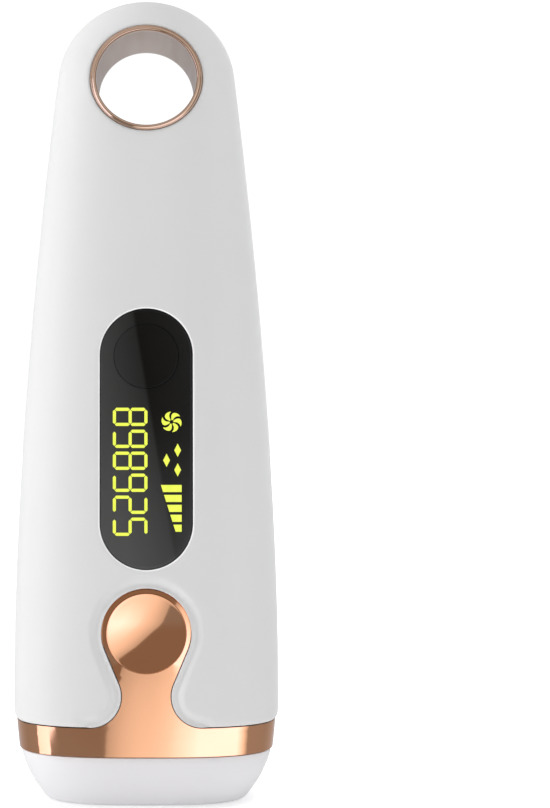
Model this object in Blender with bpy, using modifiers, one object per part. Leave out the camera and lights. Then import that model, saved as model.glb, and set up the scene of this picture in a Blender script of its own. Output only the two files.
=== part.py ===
"""IPL hair remover: a hand-held flash-lamp device with a hanging ring at its top end.

Row frame: +Z runs up the handle from the light window to the ring, -Y is the front with the display
and the buttons, +X is to the right of someone facing the front. The origin is on the resting face,
under the middle of the device. All lengths are in metres.
"""

import math

import bmesh
import bpy
from mathutils import Matrix, Vector

MM = 0.001

# Driving dimensions
HEIGHT = 190 * MM
MAX_HALF_WIDTH = 31.5 * MM
MAX_HALF_DEPTH = 21.2 * MM
DOME_RADIUS = 21.2 * MM
RING_Z = HEIGHT - DOME_RADIUS
RING_HALF_DEPTH = 15 * MM
WIDEST_Z = 28 * MM
FLANK_POWER = 1.7
SECTION_EXPONENT = 3.0
WALL = 2 * MM
GAP = 0.3 * MM

# The rose-gold trim: a band round the body with a keyhole tongue that runs up to the flash button
BAND_BOTTOM = 12.4 * MM
BAND_TOP = 18.9 * MM
TRIM_INSET = 0.7 * MM
BUTTON_Z = 40.7 * MM
KEYHOLE_RADIUS = 10.12 * MM
FILLET_X = 12.95 * MM
FILLET_Z = 26.3 * MM
FILLET_RADIUS = FILLET_Z - BAND_TOP

# The display window and its button
LENS_Z = 85.3 * MM
LENS_HALF_WIDTH = 10.6 * MM
LENS_HALF_LENGTH = 29.9 * MM
LENS_INSET = 0.15 * MM
MODE_Z = 104.3 * MM
MODE_RADIUS = 7.35 * MM
FLASH_RADIUS = 9.2 * MM
FLASH_TRAVEL = 0.8 * MM
MODE_TRAVEL = 0.5 * MM

# The ring's liner, a slightly oval tube, and the wall that the shells have round it
LINER_Z = RING_Z + 0.4 * MM
LINER_OUTER = (13.1 * MM, 12.4 * MM)
LINER_INNER = (11.7 * MM, 11.15 * MM)
LINER_PROUD = 0.3 * MM
RING_WALL_RADIUS = 15.4 * MM

# The head below the band: height, half width and half depth of its sections
HEAD_TOP = BAND_BOTTOM - GAP
HEAD_SECTIONS = (
    (0.0, 23.8 * MM, 15.0 * MM),
    (5 * MM, 27.4 * MM, 17.7 * MM),
    (9.5 * MM, 29.6 * MM, 19.5 * MM),
    (HEAD_TOP, 30.4 * MM, 20.2 * MM),
)
COLLAR_INSET = WALL + GAP
COLLAR_WALL = 1.6 * MM
COLLAR_BOTTOM = 10.5 * MM
COLLAR_TOP = 24 * MM

# Circuit boards and switches; y is the face that looks to the front
FRONT_BOARD_Y = -11.9 * MM
MAIN_BOARD_Y = 7 * MM
BOARD_THICKNESS = 1.5 * MM
SWITCH_HEIGHT = 2.2 * MM
PLUNGER_RADIUS = 1.6 * MM
PLUNGER_PROUD = 0.7 * MM

# The fan behind the rear grille, turning about Y
FAN_Z = 47.5 * MM
FAN_SIZE = 35 * MM
FAN_FRONT = 6.2 * MM
FAN_DEPTH = 10 * MM
FAN_BORE = 16.2 * MM
BLADES = 7

# Lamp, across the head
LAMP_Z = 12 * MM
LAMP_RADIUS = 3 * MM
LAMP_HALF_LENGTH = 21.4 * MM
LAMP_CAP_HALF = 1.8 * MM
LAMP_CAP_X = LAMP_HALF_LENGTH + GAP + LAMP_CAP_HALF
REFLECTOR_HALF = 17.6 * MM

# Power inlet in the rear shell
JACK_Z = 128 * MM
JACK_FACE_Y = 17.6 * MM
JACK_NOSE_RADIUS = 4 * MM
JACK_HOLE_RADIUS = JACK_NOSE_RADIUS + 0.4 * MM

# Screw axes, as (x, z); screws run along Y
HOUSING_SCREWS = ((-13.5 * MM, 151 * MM), (13.5 * MM, 151 * MM), (-22 * MM, 72 * MM), (22 * MM, 72 * MM))
FRONT_BOARD_SCREWS = ((-13.3 * MM, 60 * MM), (13.3 * MM, 60 * MM), (-13.3 * MM, 108 * MM), (13.3 * MM, 108 * MM))
MAIN_BOARD_SCREWS = ((-13 * MM, 137 * MM), (13 * MM, 137 * MM), (0.0, 73 * MM))

# Posts inside the shells and the holes in them
HOUSING_POST_RADIUS = 3.4 * MM
HOUSING_PILOT_RADIUS = 1.5 * MM
HOUSING_JOINT_Y = 4 * MM  # where the front and rear posts of a housing screw meet
SCREW_PASSAGE_RADIUS = 1.7 * MM
SCREW_WELL_RADIUS = 3.1 * MM
SCREW_WELL_WALL = 1.2 * MM
SCREW_WELL_FLOOR = 6 * MM
BOARD_POST_RADIUS = 2.2 * MM
BOARD_PILOT_RADIUS = 1.2 * MM

PROFILE_STEPS = 9
FLANK_ROWS = 13
DOME_ROWS = 8
FAR = 26 * MM  # further out than any surface of the body along Y
LENS_BACK = -10 * MM  # behind the front wall and in front of everything else
REACH = 100 * MM  # further out than anything to the sides; twice this is above the top

MATERIALS = {
    "white_plastic": ((0.83, 0.83, 0.84), 0.32, 0.0),
    "rose_gold": ((0.86, 0.52, 0.36), 0.16, 1.0),
    "black_acrylic": ((0.012, 0.012, 0.013), 0.08, 0.0),
    "black_button": ((0.008, 0.008, 0.009), 0.15, 0.0),
    "bezel_metal": ((0.78, 0.78, 0.8), 0.25, 1.0),
    "glass": ((0.86, 0.80, 0.62), 0.02, 0.0),
    "aluminium": ((0.85, 0.85, 0.86), 0.2, 1.0),
    "steel": ((0.6, 0.6, 0.62), 0.3, 1.0),
    "holder_plastic": ((0.78, 0.76, 0.70), 0.5, 0.0),
    "black_plastic": ((0.02, 0.02, 0.02), 0.45, 0.0),
    "board_green": ((0.03, 0.16, 0.07), 0.45, 0.0),
    "ferrite": ((0.06, 0.06, 0.065), 0.6, 0.0),
    "copper": ((0.72, 0.32, 0.18), 0.3, 1.0),
    "sleeve_blue": ((0.03, 0.05, 0.16), 0.35, 0.0),
    "bronze": ((0.55, 0.36, 0.16), 0.4, 1.0),
    "wire_red": ((0.55, 0.03, 0.02), 0.5, 0.0),
    "wire_white": ((0.75, 0.75, 0.72), 0.5, 0.0),
}


# ---------------------------------------------------------------- scene helpers


def clear_scene():
    for obj in list(bpy.data.objects):
        bpy.data.objects.remove(obj)


def new_collection(name):
    collection = bpy.data.collections.new(name)
    bpy.context.scene.collection.children.link(collection)
    return collection


def make_materials():
    for name, (colour, roughness, metallic) in MATERIALS.items():
        material = bpy.data.materials.new(name)
        material.use_nodes = True
        shader = material.node_tree.nodes["Principled BSDF"]
        shader.inputs["Base Color"].default_value = (*colour, 1.0)
        shader.inputs["Roughness"].default_value = roughness
        shader.inputs["Metallic"].default_value = metallic


def place(obj, material):
    """Puts a part in the device's collection, with its material; with no material it is a hidden helper."""
    for collection in list(obj.users_collection):
        collection.objects.unlink(obj)
    if material is None:
        HELPERS.objects.link(obj)
        obj.hide_render = True
        obj.display_type = "WIRE"
    else:
        DEVICE.objects.link(obj)
        obj.data.materials.clear()
        obj.data.materials.append(bpy.data.materials[material])
    return obj


def named(name, material):
    """The object that a bpy.ops call has just added, named and placed."""
    obj = bpy.context.object
    obj.name = name
    obj.data.name = name
    return place(obj, material)


def mesh_object(name, bm, material):
    mesh = bpy.data.meshes.new(name)
    bm.to_mesh(mesh)
    bm.free()
    obj = bpy.data.objects.new(name, mesh)
    bpy.context.scene.collection.objects.link(obj)
    return place(obj, material)


def boolean(obj, operation, other):
    modifier = obj.modifiers.new(f"{operation.lower()} {other.name}", "BOOLEAN")
    modifier.operation = operation
    modifier.object = other
    return obj


def cut(obj, *others):
    for other in others:
        boolean(obj, "DIFFERENCE", other)
    return obj


def join(obj, *others):
    for other in others:
        boolean(obj, "UNION", other)
    return obj


def trim(obj, *others):
    for other in others:
        boolean(obj, "INTERSECT", other)
    return obj


def smooth(obj, angle=40):
    obj.data.shade_smooth()
    obj.data.set_sharp_from_angle(angle=math.radians(angle))
    return obj


# ---------------------------------------------------------------- shape helpers


def box(name, low, high, material=None, bevel=0.0):
    low, high = Vector(low), Vector(high)
    bpy.ops.mesh.primitive_cube_add(size=1, location=(low + high) / 2)
    obj = named(name, material)
    obj.data.transform(Matrix.Diagonal((*(high - low), 1)))
    if bevel:
        rounding = obj.modifiers.new("rounded edges", "BEVEL")
        rounding.width = bevel
        rounding.segments = 2
    return obj


def cylinder(name, centre, radius, length, axis, material=None, segments=20):
    turns = {"X": (0, math.radians(90), 0), "Y": (math.radians(90), 0, 0), "Z": (0, 0, 0)}
    bpy.ops.mesh.primitive_cylinder_add(
        vertices=segments, radius=radius, depth=length, location=centre, rotation=turns[axis]
    )
    return smooth(named(name, material))


def rods(name, members, material=None, segments=20):
    """Closed cylinders or oval rods along Y in one mesh: each member is (x, z, radius or radii, y from, y to)."""
    bm = bmesh.new()
    for x, z, radius, start, end in members:
        across, along = radius if isinstance(radius, tuple) else (radius, radius)
        matrix = (
            Matrix.Translation((x, (start + end) / 2, z))
            @ Matrix.Rotation(math.radians(90), 4, "X")
            @ Matrix.Diagonal((across, along, end - start, 1))
        )
        bmesh.ops.create_cone(
            bm, cap_ends=True, segments=segments, radius1=1, radius2=1, depth=1, matrix=matrix
        )
    return smooth(mesh_object(name, bm, material))


def turned(name, profile, centre, material=None, segments=24):
    """A solid of revolution about Y. profile is (radius, height) from the front tip down its outer side
    to the back; height is measured towards the front from centre."""
    mesh = bpy.data.meshes.new(name)
    points = [(radius, 0.0, height) for radius, height in profile]
    mesh.from_pydata(points, [(i, i + 1) for i in range(len(points) - 1)], [])
    obj = bpy.data.objects.new(name, mesh)
    bpy.context.scene.collection.objects.link(obj)
    place(obj, material)
    obj.location = centre
    obj.rotation_euler = (math.radians(90), 0, 0)
    screw = obj.modifiers.new("turn", "SCREW")
    screw.steps = segments
    screw.render_steps = segments
    screw.use_merge_vertices = True
    screw.merge_threshold = 0.01 * MM
    return obj


def curve_mesh(name, curve, material):
    """The closed mesh of a curve whose caps are welded to its sides."""
    obj = bpy.data.objects.new(name, curve)
    bpy.context.scene.collection.objects.link(obj)
    bpy.context.view_layer.update()
    mesh = bpy.data.meshes.new_from_object(obj.evaluated_get(bpy.context.evaluated_depsgraph_get()))
    bpy.data.objects.remove(obj)
    bm = bmesh.new()
    bm.from_mesh(mesh)
    bmesh.ops.remove_doubles(bm, verts=bm.verts, dist=0.001 * MM)
    bmesh.ops.recalc_face_normals(bm, faces=bm.faces)
    bpy.data.meshes.remove(mesh)
    return mesh_object(name, bm, material)


def plate(name, outline, start, end, axis="Y", material=None):
    """A flat outline extruded from start to end along Y or X. Outline points are (x, z) or (y, z)."""
    curve = bpy.data.curves.new(name, "CURVE")
    curve.dimensions = "2D"
    curve.fill_mode = "BOTH"
    curve.extrude = (end - start) / 2
    spline = curve.splines.new("POLY")
    spline.points.add(len(outline) - 1)
    for point, (across, up) in zip(spline.points, outline):
        point.co = (across, up, 0, 1)
    spline.use_cyclic_u = True
    obj = curve_mesh(name, curve, material)
    turn = Matrix.Rotation(math.radians(90), 4, "X")
    if axis == "X":
        turn = Matrix.Rotation(math.radians(90), 4, "Z") @ turn
    obj.data.transform(turn)
    middle = (start + end) / 2
    obj.location = (0, middle, 0) if axis == "Y" else (middle, 0, 0)
    return obj


def tube(name, points, radius, material):
    """A wire along a smooth curve through points."""
    curve = bpy.data.curves.new(name, "CURVE")
    curve.dimensions = "3D"
    curve.bevel_depth = radius
    curve.bevel_resolution = 1
    curve.use_fill_caps = True
    path = smooth_path([Vector(p) for p in points], 4)
    spline = curve.splines.new("POLY")
    spline.points.add(len(path) - 1)
    for point, place_at in zip(spline.points, path):
        point.co = (*place_at, 1)
    return smooth(curve_mesh(name, curve, material))


def smooth_path(points, steps):
    """Catmull-Rom points through the given ones."""
    ends = [points[0] * 2 - points[1], *points, points[-1] * 2 - points[-2]]
    path = []
    for a, b, c, d in zip(ends, ends[1:], ends[2:], ends[3:]):
        for step in range(steps):
            t = step / steps
            path.append(
                0.5 * ((2 * b) + (c - a) * t + (2 * a - 5 * b + 4 * c - d) * t**2 + (3 * b - a - 3 * c + d) * t**3)
            )
    return [*path, points[-1]]


def arc(centre, radius, start, end, steps):
    """Points on a circle, in degrees from start to end."""
    angles = [math.radians(start + (end - start) * i / steps) for i in range(steps + 1)]
    return [(centre[0] + radius * math.cos(a), centre[1] + radius * math.sin(a)) for a in angles]


# ---------------------------------------------------------------- the body's surface

FLANK_SLOPE = FLANK_POWER / (RING_Z - WIDEST_Z)
SHOULDER_ANGLE = math.atan((MAX_HALF_WIDTH - DOME_RADIUS) * FLANK_SLOPE)
RING_HALF_WIDTH = DOME_RADIUS / math.cos(SHOULDER_ANGLE)


def narrowing(z):
    """0 up to the widest height, growing to 1 at the ring's centre."""
    return max(0.0, (z - WIDEST_Z) / (RING_Z - WIDEST_Z)) ** FLANK_POWER


def half_width(z):
    return MAX_HALF_WIDTH - (MAX_HALF_WIDTH - RING_HALF_WIDTH) * narrowing(z)


def half_depth(z):
    return MAX_HALF_DEPTH - (MAX_HALF_DEPTH - RING_HALF_DEPTH) * narrowing(z)


def dome_radius(angle):
    """Distance from the ring's centre to the outline: straight up to the shoulder, then round."""
    if angle >= SHOULDER_ANGLE:
        return DOME_RADIUS
    return RING_HALF_WIDTH / (math.cos(angle) + math.sin(angle) * math.tan(SHOULDER_ANGLE))


def superellipse(steps=PROFILE_STEPS):
    """A quarter of the unit section, as (across, depth) from the middle of the face to the edge."""
    power = 2 / SECTION_EXPONENT
    quarter = [math.pi / 2 * i / steps for i in range(steps + 1)]
    return [(abs(math.sin(a)) ** power, abs(math.cos(a)) ** power) for a in quarter]


def loft_half(name, rows, material, cap_top=False):
    """The right-hand half of a closed body, mirrored. Each row is (centre z, angle, radius, half depth):
    a section that starts on the front centre line, rounds the edge and returns along the back."""
    bm = bmesh.new()
    quarter = superellipse()
    section = [(a, -d) for a, d in quarter] + [(a, d) for a, d in reversed(quarter[:-1])]
    grid = []
    for centre, angle, radius, depth in rows:
        line = [
            bm.verts.new((a * radius * math.cos(angle), d * depth, centre + a * radius * math.sin(angle)))
            for a, d in section
        ]
        grid.append(line)
    for low, high in zip(grid, grid[1:]):
        for i in range(len(section) - 1):
            bm.faces.new((low[i], low[i + 1], high[i + 1], high[i]))
    bm.faces.new(list(reversed(grid[0])))
    if cap_top:
        bm.faces.new(grid[-1])
    bmesh.ops.remove_doubles(bm, verts=bm.verts, dist=0.001 * MM)
    bmesh.ops.recalc_face_normals(bm, faces=bm.faces)
    obj = smooth(mesh_object(name, bm, material), 50)
    mirror = obj.modifiers.new("both halves", "MIRROR")
    mirror.use_axis = (True, False, False)
    mirror.merge_threshold = 0.01 * MM
    return obj


def body_solid(name, inset, material=None, bottom=9 * MM):
    """The closed body, inset all round, from bottom up to the top of the dome."""
    rows = []
    for i in range(FLANK_ROWS + 1):
        z = bottom + (RING_Z - bottom) * i / FLANK_ROWS
        rows.append((z, 0.0, half_width(z) - inset, half_depth(z) - inset))
    for i in range(1, DOME_ROWS + 1):
        angle = SHOULDER_ANGLE + (math.pi / 2 - SHOULDER_ANGLE) * (i - 1) / (DOME_ROWS - 1)
        rows.append((RING_Z, angle, dome_radius(angle) - inset, RING_HALF_DEPTH - inset))
    return loft_half(name, rows, material)


def head_solid(name, inset, bottom, material=None):
    """The closed head, inset all round, with its lowest section carried straight down to bottom."""
    rows = [(z, 0.0, w - inset, d - inset) for z, w, d in HEAD_SECTIONS]
    if bottom < 0:
        first = rows[0]
        rows.insert(0, (bottom, *first[1:]))
    return loft_half(name, rows, material, cap_top=True)


def keyhole(grow, floor):
    """The tongue's outline: a round head on a waisted neck that flares into the band."""
    head, fillet = KEYHOLE_RADIUS + grow, FILLET_RADIUS - grow
    across, down = FILLET_X, FILLET_Z - BUTTON_Z
    between = math.hypot(across, down)
    tangent = math.degrees(math.atan2(down, across) + math.acos((head + fillet) / between))
    right = arc((FILLET_X, FILLET_Z), fillet, 270, 180 + tangent, 10)
    top = arc((0, BUTTON_Z), head, tangent, 180 - tangent, 24)
    left = [(-x, z) for x, z in reversed(right)]
    return [(FILLET_X, floor), *right, *top, *left, (-FILLET_X, floor)]


def pill(grow):
    radius = LENS_HALF_WIDTH + grow
    straight = LENS_HALF_LENGTH - LENS_HALF_WIDTH
    top = arc((0, LENS_Z + straight), radius, 0, 180, 14)
    bottom = arc((0, LENS_Z - straight), radius, 180, 360, 14)
    return top + bottom


# ---------------------------------------------------------------- outer parts


def make_front_shell():
    housing_pilot = (-10 * MM, 5 * MM)
    board_pilot = (-15 * MM, -10 * MM)
    posts = [(x, z, HOUSING_POST_RADIUS, -FAR, HOUSING_JOINT_Y - GAP) for x, z in HOUSING_SCREWS]
    posts += [(x, z, BOARD_POST_RADIUS, -FAR, FRONT_BOARD_Y - GAP) for x, z in FRONT_BOARD_SCREWS]
    posts.append((0, LINER_Z, RING_WALL_RADIUS, -FAR, 0.0))
    inner = trim(rods("front_posts", posts), BODY_MID_WALL)
    pilots = [(x, z, HOUSING_PILOT_RADIUS, *housing_pilot) for x, z in HOUSING_SCREWS]
    pilots += [(x, z, BOARD_PILOT_RADIUS, *board_pilot) for x, z in FRONT_BOARD_SCREWS]
    shell = body_solid("front_shell", 0.0, "white_plastic")
    cut(shell, BODY_INNER)
    join(shell, inner)
    cut(
        shell,
        rods("front_pilots", pilots, segments=12),
        RING_BORE,
        plate("lens_opening", pill(GAP), -FAR, LENS_BACK),
        plate("tongue_opening", keyhole(GAP, 5 * MM), -FAR, LENS_BACK),
    )
    return trim(shell, box("front_half", (-REACH, -REACH, BAND_TOP + GAP), (REACH, -GAP / 2, 2 * REACH)))


def grille_slots():
    """Vertical slots over the fan, cut to a round outline."""
    reach, pitch, half = 14.5 * MM, 3.6 * MM, 0.9 * MM
    for i in range(-3, 4):
        x = i * pitch
        length = math.sqrt(reach**2 - x**2)
        yield (x - half, 12 * MM, FAN_Z - length), (x + half, FAR, FAN_Z + length)


def side_slots():
    """Outlet slots low on both flanks of the rear shell."""
    for side in (-1, 1):
        for i in range(4):
            z = (25 + 4 * i) * MM
            inner, outer = sorted((side * 26 * MM, side * 36 * MM))
            yield (inner, 3 * MM, z), (outer, 11 * MM, z + 1.8 * MM)


def boxes_mesh(name, pairs):
    bm = bmesh.new()
    for low, high in pairs:
        low, high = Vector(low), Vector(high)
        matrix = Matrix.Translation((low + high) / 2) @ Matrix.Diagonal((*(high - low), 1))
        bmesh.ops.create_cube(bm, size=1, matrix=matrix)
    return mesh_object(name, bm, None)


def make_rear_shell():
    board_back = MAIN_BOARD_Y + BOARD_THICKNESS + GAP
    board_pilot = (5 * MM, 13.5 * MM)
    well_outside = SCREW_WELL_RADIUS + SCREW_WELL_WALL
    posts = [(x, z, well_outside, HOUSING_JOINT_Y, FAR) for x, z in HOUSING_SCREWS]
    posts += [(x, z, BOARD_POST_RADIUS, board_back, FAR) for x, z in MAIN_BOARD_SCREWS]
    posts.append((0, LINER_Z, RING_WALL_RADIUS, 0.0, FAR))
    inner = trim(rods("rear_posts", posts), BODY_MID_WALL)
    holes = [(x, z, SCREW_PASSAGE_RADIUS, 0.0, 8 * MM) for x, z in HOUSING_SCREWS]
    holes += [(x, z, BOARD_PILOT_RADIUS, *board_pilot) for x, z in MAIN_BOARD_SCREWS]
    holes.append((0, JACK_Z, JACK_HOLE_RADIUS, MAIN_BOARD_Y, FAR))
    wells = [(x, z, SCREW_WELL_RADIUS, SCREW_WELL_FLOOR, FAR) for x, z in HOUSING_SCREWS]
    shell = body_solid("rear_shell", 0.0, "white_plastic")
    cut(shell, BODY_INNER)
    join(shell, inner)
    cut(
        shell,
        rods("rear_holes", holes, segments=16),
        rods("screw_wells", wells, segments=16),
        RING_BORE,
        boxes_mesh("grille_slots", grille_slots()),
        boxes_mesh("side_slots", side_slots()),
    )
    return trim(shell, box("rear_half", (-REACH, GAP / 2, BAND_TOP + GAP), (REACH, REACH, 2 * REACH)))


def make_trim_band():
    region = box("band_height", (-REACH, -REACH, BAND_BOTTOM), (REACH, REACH, BAND_TOP))
    join(region, plate("tongue_outline", keyhole(0.0, 15 * MM), -FAR, LENS_BACK))
    band = body_solid("trim_band", TRIM_INSET, "rose_gold")
    cut(band, BODY_INNER)
    trim(band, region)
    return cut(band, rods("flash_button_hole", [(0, BUTTON_Z, FLASH_RADIUS + GAP, -FAR, 0)], segments=32))


def make_head_shell():
    shell = head_solid("head_shell", 0.0, 0.0, "white_plastic")
    collar = body_solid("collar_outside", COLLAR_INSET)
    trim(collar, box("collar_height", (-REACH, -REACH, COLLAR_BOTTOM), (REACH, REACH, COLLAR_TOP)))
    join(shell, collar)
    return cut(
        shell,
        head_solid("head_inside", WALL, -5 * MM),
        body_solid("collar_inside", COLLAR_INSET + COLLAR_WALL, bottom=COLLAR_BOTTOM - 0.4 * MM),
    )


def make_ring_liner():
    liner = rods("ring_liner", [(0, LINER_Z, LINER_OUTER, -FAR, FAR)], "rose_gold", 48)
    trim(liner, body_solid("liner_ends", -LINER_PROUD))
    return cut(liner, rods("liner_bore", [(0, LINER_Z, LINER_INNER, -REACH, REACH)], segments=48))


def make_display_lens():
    lens = plate("display_lens", pill(0.0), -FAR, LENS_BACK, material="black_acrylic")
    trim(lens, body_solid("lens_face", LENS_INSET))
    cut(lens, BODY_INNER)
    return cut(lens, rods("mode_button_hole", [(0, MODE_Z, MODE_RADIUS + GAP, -FAR, 0)], segments=28))


def make_mode_button():
    """A flat-topped key whose face follows the lens, with a flange that keeps it behind the lens."""
    flange = 16.4 * MM
    back = 15.4 * MM
    profile = [
        (0, FAR),
        (MODE_RADIUS, FAR),
        (MODE_RADIUS, flange),
        (8.6 * MM, flange),
        (8.6 * MM, back),
        (0, back),
    ]
    key = turned("mode_button", profile, (0, 0, MODE_Z), "black_button", 28)
    return trim(key, body_solid("mode_face", -0.1 * MM))


def make_flash_button():
    """A dished key with a flange behind the tongue and a post that presses the switch."""
    rim, dish, flange, back = 20.6 * MM, 19.7 * MM, 18.5 * MM, 17.5 * MM
    post_end = 15.4 * MM
    profile = [
        (0, dish),
        (3 * MM, dish + 0.08 * MM),
        (6 * MM, dish + 0.35 * MM),
        (8.6 * MM, rim - 0.05 * MM),
        (FLASH_RADIUS - 0.2 * MM, rim),
        (FLASH_RADIUS, rim - 0.25 * MM),
        (FLASH_RADIUS, flange),
        (10.9 * MM, flange),
        (10.9 * MM, back),
        (2.5 * MM, back),
        (2.5 * MM, post_end),
        (0, post_end),
    ]
    return smooth(turned("flash_button", profile, (0, 0, BUTTON_Z), "rose_gold", 32))


# ---------------------------------------------------------------- lamp and window


def rounded_rectangle(half_x, half_z, radius, steps=4):
    corners = ((1, 1, 0), (-1, 1, 90), (-1, -1, 180), (1, -1, 270))
    outline = []
    for sx, sz, start in corners:
        centre = (sx * (half_x - radius), sz * (half_z - radius))
        outline += arc(centre, radius, start, start + 90, steps)
    return outline


def flat_plate(name, outline, low, high, material):
    """An outline in x and y, from low to high along Z."""
    obj = plate(name, outline, low, high, material=material)
    obj.data.transform(Matrix.Rotation(math.radians(-90), 4, "X"))
    obj.location = (0, 0, (low + high) / 2)
    return obj


def make_window():
    quarter = superellipse(8)
    half = [(a * 21.2 * MM, d * 12.2 * MM) for a, d in reversed(quarter)]
    outline = half + [(-x, y) for x, y in reversed(half[:-1])]
    outline += [(-x, -y) for x, y in half[1:]] + [(x, -y) for x, y in reversed(half[1:-1])]
    bezel = flat_plate("window_bezel", outline, 0.4 * MM, 2.4 * MM, "bezel_metal")
    opening = flat_plate("window_opening", rounded_rectangle(17 * MM, 6.5 * MM, 2 * MM), -1 * MM, 4 * MM, None)
    sensors = boxes_mesh(
        "sensor_slots",
        [((-10.3 * MM, y - 1.1 * MM, -1 * MM), (10.3 * MM, y + 1.1 * MM, 4 * MM)) for y in (-9.2 * MM, 9.2 * MM)],
    )
    cut(bezel, opening, sensors)
    for name, y in (("skin_sensor_front", -9.2 * MM), ("skin_sensor_rear", 9.2 * MM)):
        box(name, (-10 * MM, y - 0.8 * MM, 0.25 * MM), (10 * MM, y + 0.8 * MM, 2.3 * MM), "steel", 0.2 * MM)
    glass = box("filter_glass", (-18.3 * MM, -7.8 * MM, 2.7 * MM), (18.3 * MM, 7.8 * MM, 4.5 * MM), "glass")
    return bezel, glass


def make_lamp():
    """A xenon tube across the head with a metal cap on each end."""
    cylinder("flash_lamp", (0, 0, LAMP_Z), LAMP_RADIUS, 2 * LAMP_HALF_LENGTH, "X", "glass", 16)
    for name, side in (("lamp_cap_left", -1), ("lamp_cap_right", 1)):
        cylinder(name, (side * LAMP_CAP_X, 0, LAMP_Z), 3.4 * MM, 2 * LAMP_CAP_HALF, "X", "steel", 16)


def make_reflector():
    """A folded sheet trough over the lamp, open towards the window."""
    steps, half_opening, floor, depth, sheet = 10, 6.5 * MM, 5 * MM, 11.6 * MM, 0.5 * MM
    across = [half_opening * (1 - 2 * i / steps) for i in range(steps + 1)]
    trough = [(y, floor + depth * (1 - (y / half_opening) ** 4)) for y in across]
    outside = [(half_opening + sheet, floor), *((y, z + sheet) for y, z in trough), (-half_opening - sheet, floor)]
    plate("reflector", outside + trough[::-1], -REFLECTOR_HALF, REFLECTOR_HALF, "X", "aluminium")


def make_lamp_holder():
    holder = box("lamp_holder", (-21 * MM, -9 * MM, 5 * MM), (21 * MM, 9 * MM, 20 * MM), "holder_plastic")
    pocket = box("reflector_pocket", (-18 * MM, -7.4 * MM, 0), (18 * MM, 7.4 * MM, 17.8 * MM))
    passage = cylinder("lamp_passage", (0, 0, LAMP_Z), LAMP_RADIUS + GAP, 60 * MM, "X", None, 16)
    return cut(holder, pocket, passage)


# ---------------------------------------------------------------- boards, switches and wiring


def make_boards():
    front = box(
        "front_board",
        (-15.5 * MM, FRONT_BOARD_Y, 31 * MM),
        (15.5 * MM, FRONT_BOARD_Y + BOARD_THICKNESS, 114 * MM),
        "board_green",
    )
    holes = [(x, z, 1.2 * MM, -20 * MM, 0) for x, z in FRONT_BOARD_SCREWS]
    cut(front, rods("front_board_holes", holes, segments=12))
    main = box(
        "main_board",
        (-17 * MM, MAIN_BOARD_Y, 68 * MM),
        (17 * MM, MAIN_BOARD_Y + BOARD_THICKNESS, 143 * MM),
        "board_green",
    )
    holes = [(x, z, 1.2 * MM, 0, 20 * MM) for x, z in MAIN_BOARD_SCREWS]
    cut(main, rods("main_board_holes", holes, segments=12))
    box(
        "display_module",
        (-8.5 * MM, -17.1 * MM, 58 * MM),
        (8.5 * MM, FRONT_BOARD_Y - GAP, 94.5 * MM),
        "black_plastic",
        0.3 * MM,
    )


def make_switch(name, z):
    """A push switch on the front board and the plunger that its key presses."""
    face = FRONT_BOARD_Y - GAP - SWITCH_HEIGHT
    half = 3.1 * MM
    case = box(f"{name}_switch", (-half, face, z - half), (half, face + SWITCH_HEIGHT, z + half), "black_plastic")
    well_floor = face + SWITCH_HEIGHT - 0.4 * MM
    cut(case, rods(f"{name}_switch_well", [(0, z, PLUNGER_RADIUS + GAP, -20 * MM, well_floor)], segments=16))
    length = PLUNGER_PROUD + 0.7 * MM
    centre = (0, face - PLUNGER_PROUD + length / 2, z)
    cylinder(f"{name}_plunger", centre, PLUNGER_RADIUS, length, "Y", "black_button", 16)


def make_capacitor():
    radius = 9 * MM
    centre = (0, MAIN_BOARD_Y - GAP - radius, 133.5 * MM)
    return cylinder("storage_capacitor", centre, radius, 33 * MM, "Z", "sleeve_blue", 28)


def make_power_stage():
    """The trigger coil, and the power transistor with its finned heat sink, on the front of the main board."""
    back = MAIN_BOARD_Y - GAP
    box("trigger_coil", (7 * MM, back - 7 * MM, 84 * MM), (14 * MM, back, 95 * MM), "copper", 0.6 * MM)
    box("power_transistor", (-8 * MM, back - 4.4 * MM, 98.5 * MM), (2 * MM, back, 112 * MM), "black_plastic", 0.3 * MM)
    sink_back = back - 4.4 * MM - GAP
    base, depth, fins, fin, half, middle = 2 * MM, 8 * MM, 5, 1.2 * MM, 8 * MM, -3 * MM
    sink = box(
        "heat_sink", (middle - half, sink_back - depth, 98 * MM), (middle + half, sink_back, 113 * MM), "aluminium"
    )
    slot = (2 * half - fins * fin) / (fins - 1)
    lefts = [middle - half + fin + i * (fin + slot) for i in range(fins - 1)]
    gaps = [((x, sink_back - 2 * depth, 90 * MM), (x + slot, sink_back - base, 120 * MM)) for x in lefts]
    return cut(sink, boxes_mesh("heat_sink_slots", gaps))


def make_transformer():
    """The flyback transformer: a ferrite core with two windows, and a winding round its middle limb."""
    back = MAIN_BOARD_Y - GAP
    left, right, low, high = -14 * MM, 2 * MM, 78 * MM, 94 * MM
    leg, window = 3 * MM, 3 * MM
    front, inner_front, inner_back = back - 12 * MM, back - 9.6 * MM, back - 2.4 * MM
    core = box("flyback_core", (left, front, low), (right, back, high), "ferrite", 0.3 * MM)
    low_window = ((left - leg, inner_front, low + leg), (right + leg, inner_back, low + leg + window))
    high_window = ((left - leg, inner_front, high - leg - window), (right + leg, inner_back, high - leg))
    cut(core, boxes_mesh("core_windows", (low_window, high_window)))
    overhang = 2.4 * MM
    winding = box(
        "flyback_winding",
        (left - overhang, inner_front + GAP, low + leg + GAP),
        (right + overhang, inner_back - GAP, high - leg - GAP),
        "copper",
    )
    limb = box(
        "core_limb",
        (left - GAP, front, low + leg + window - GAP),
        (right + GAP, back, high - leg - window + GAP),
    )
    return cut(winding, limb)


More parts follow.
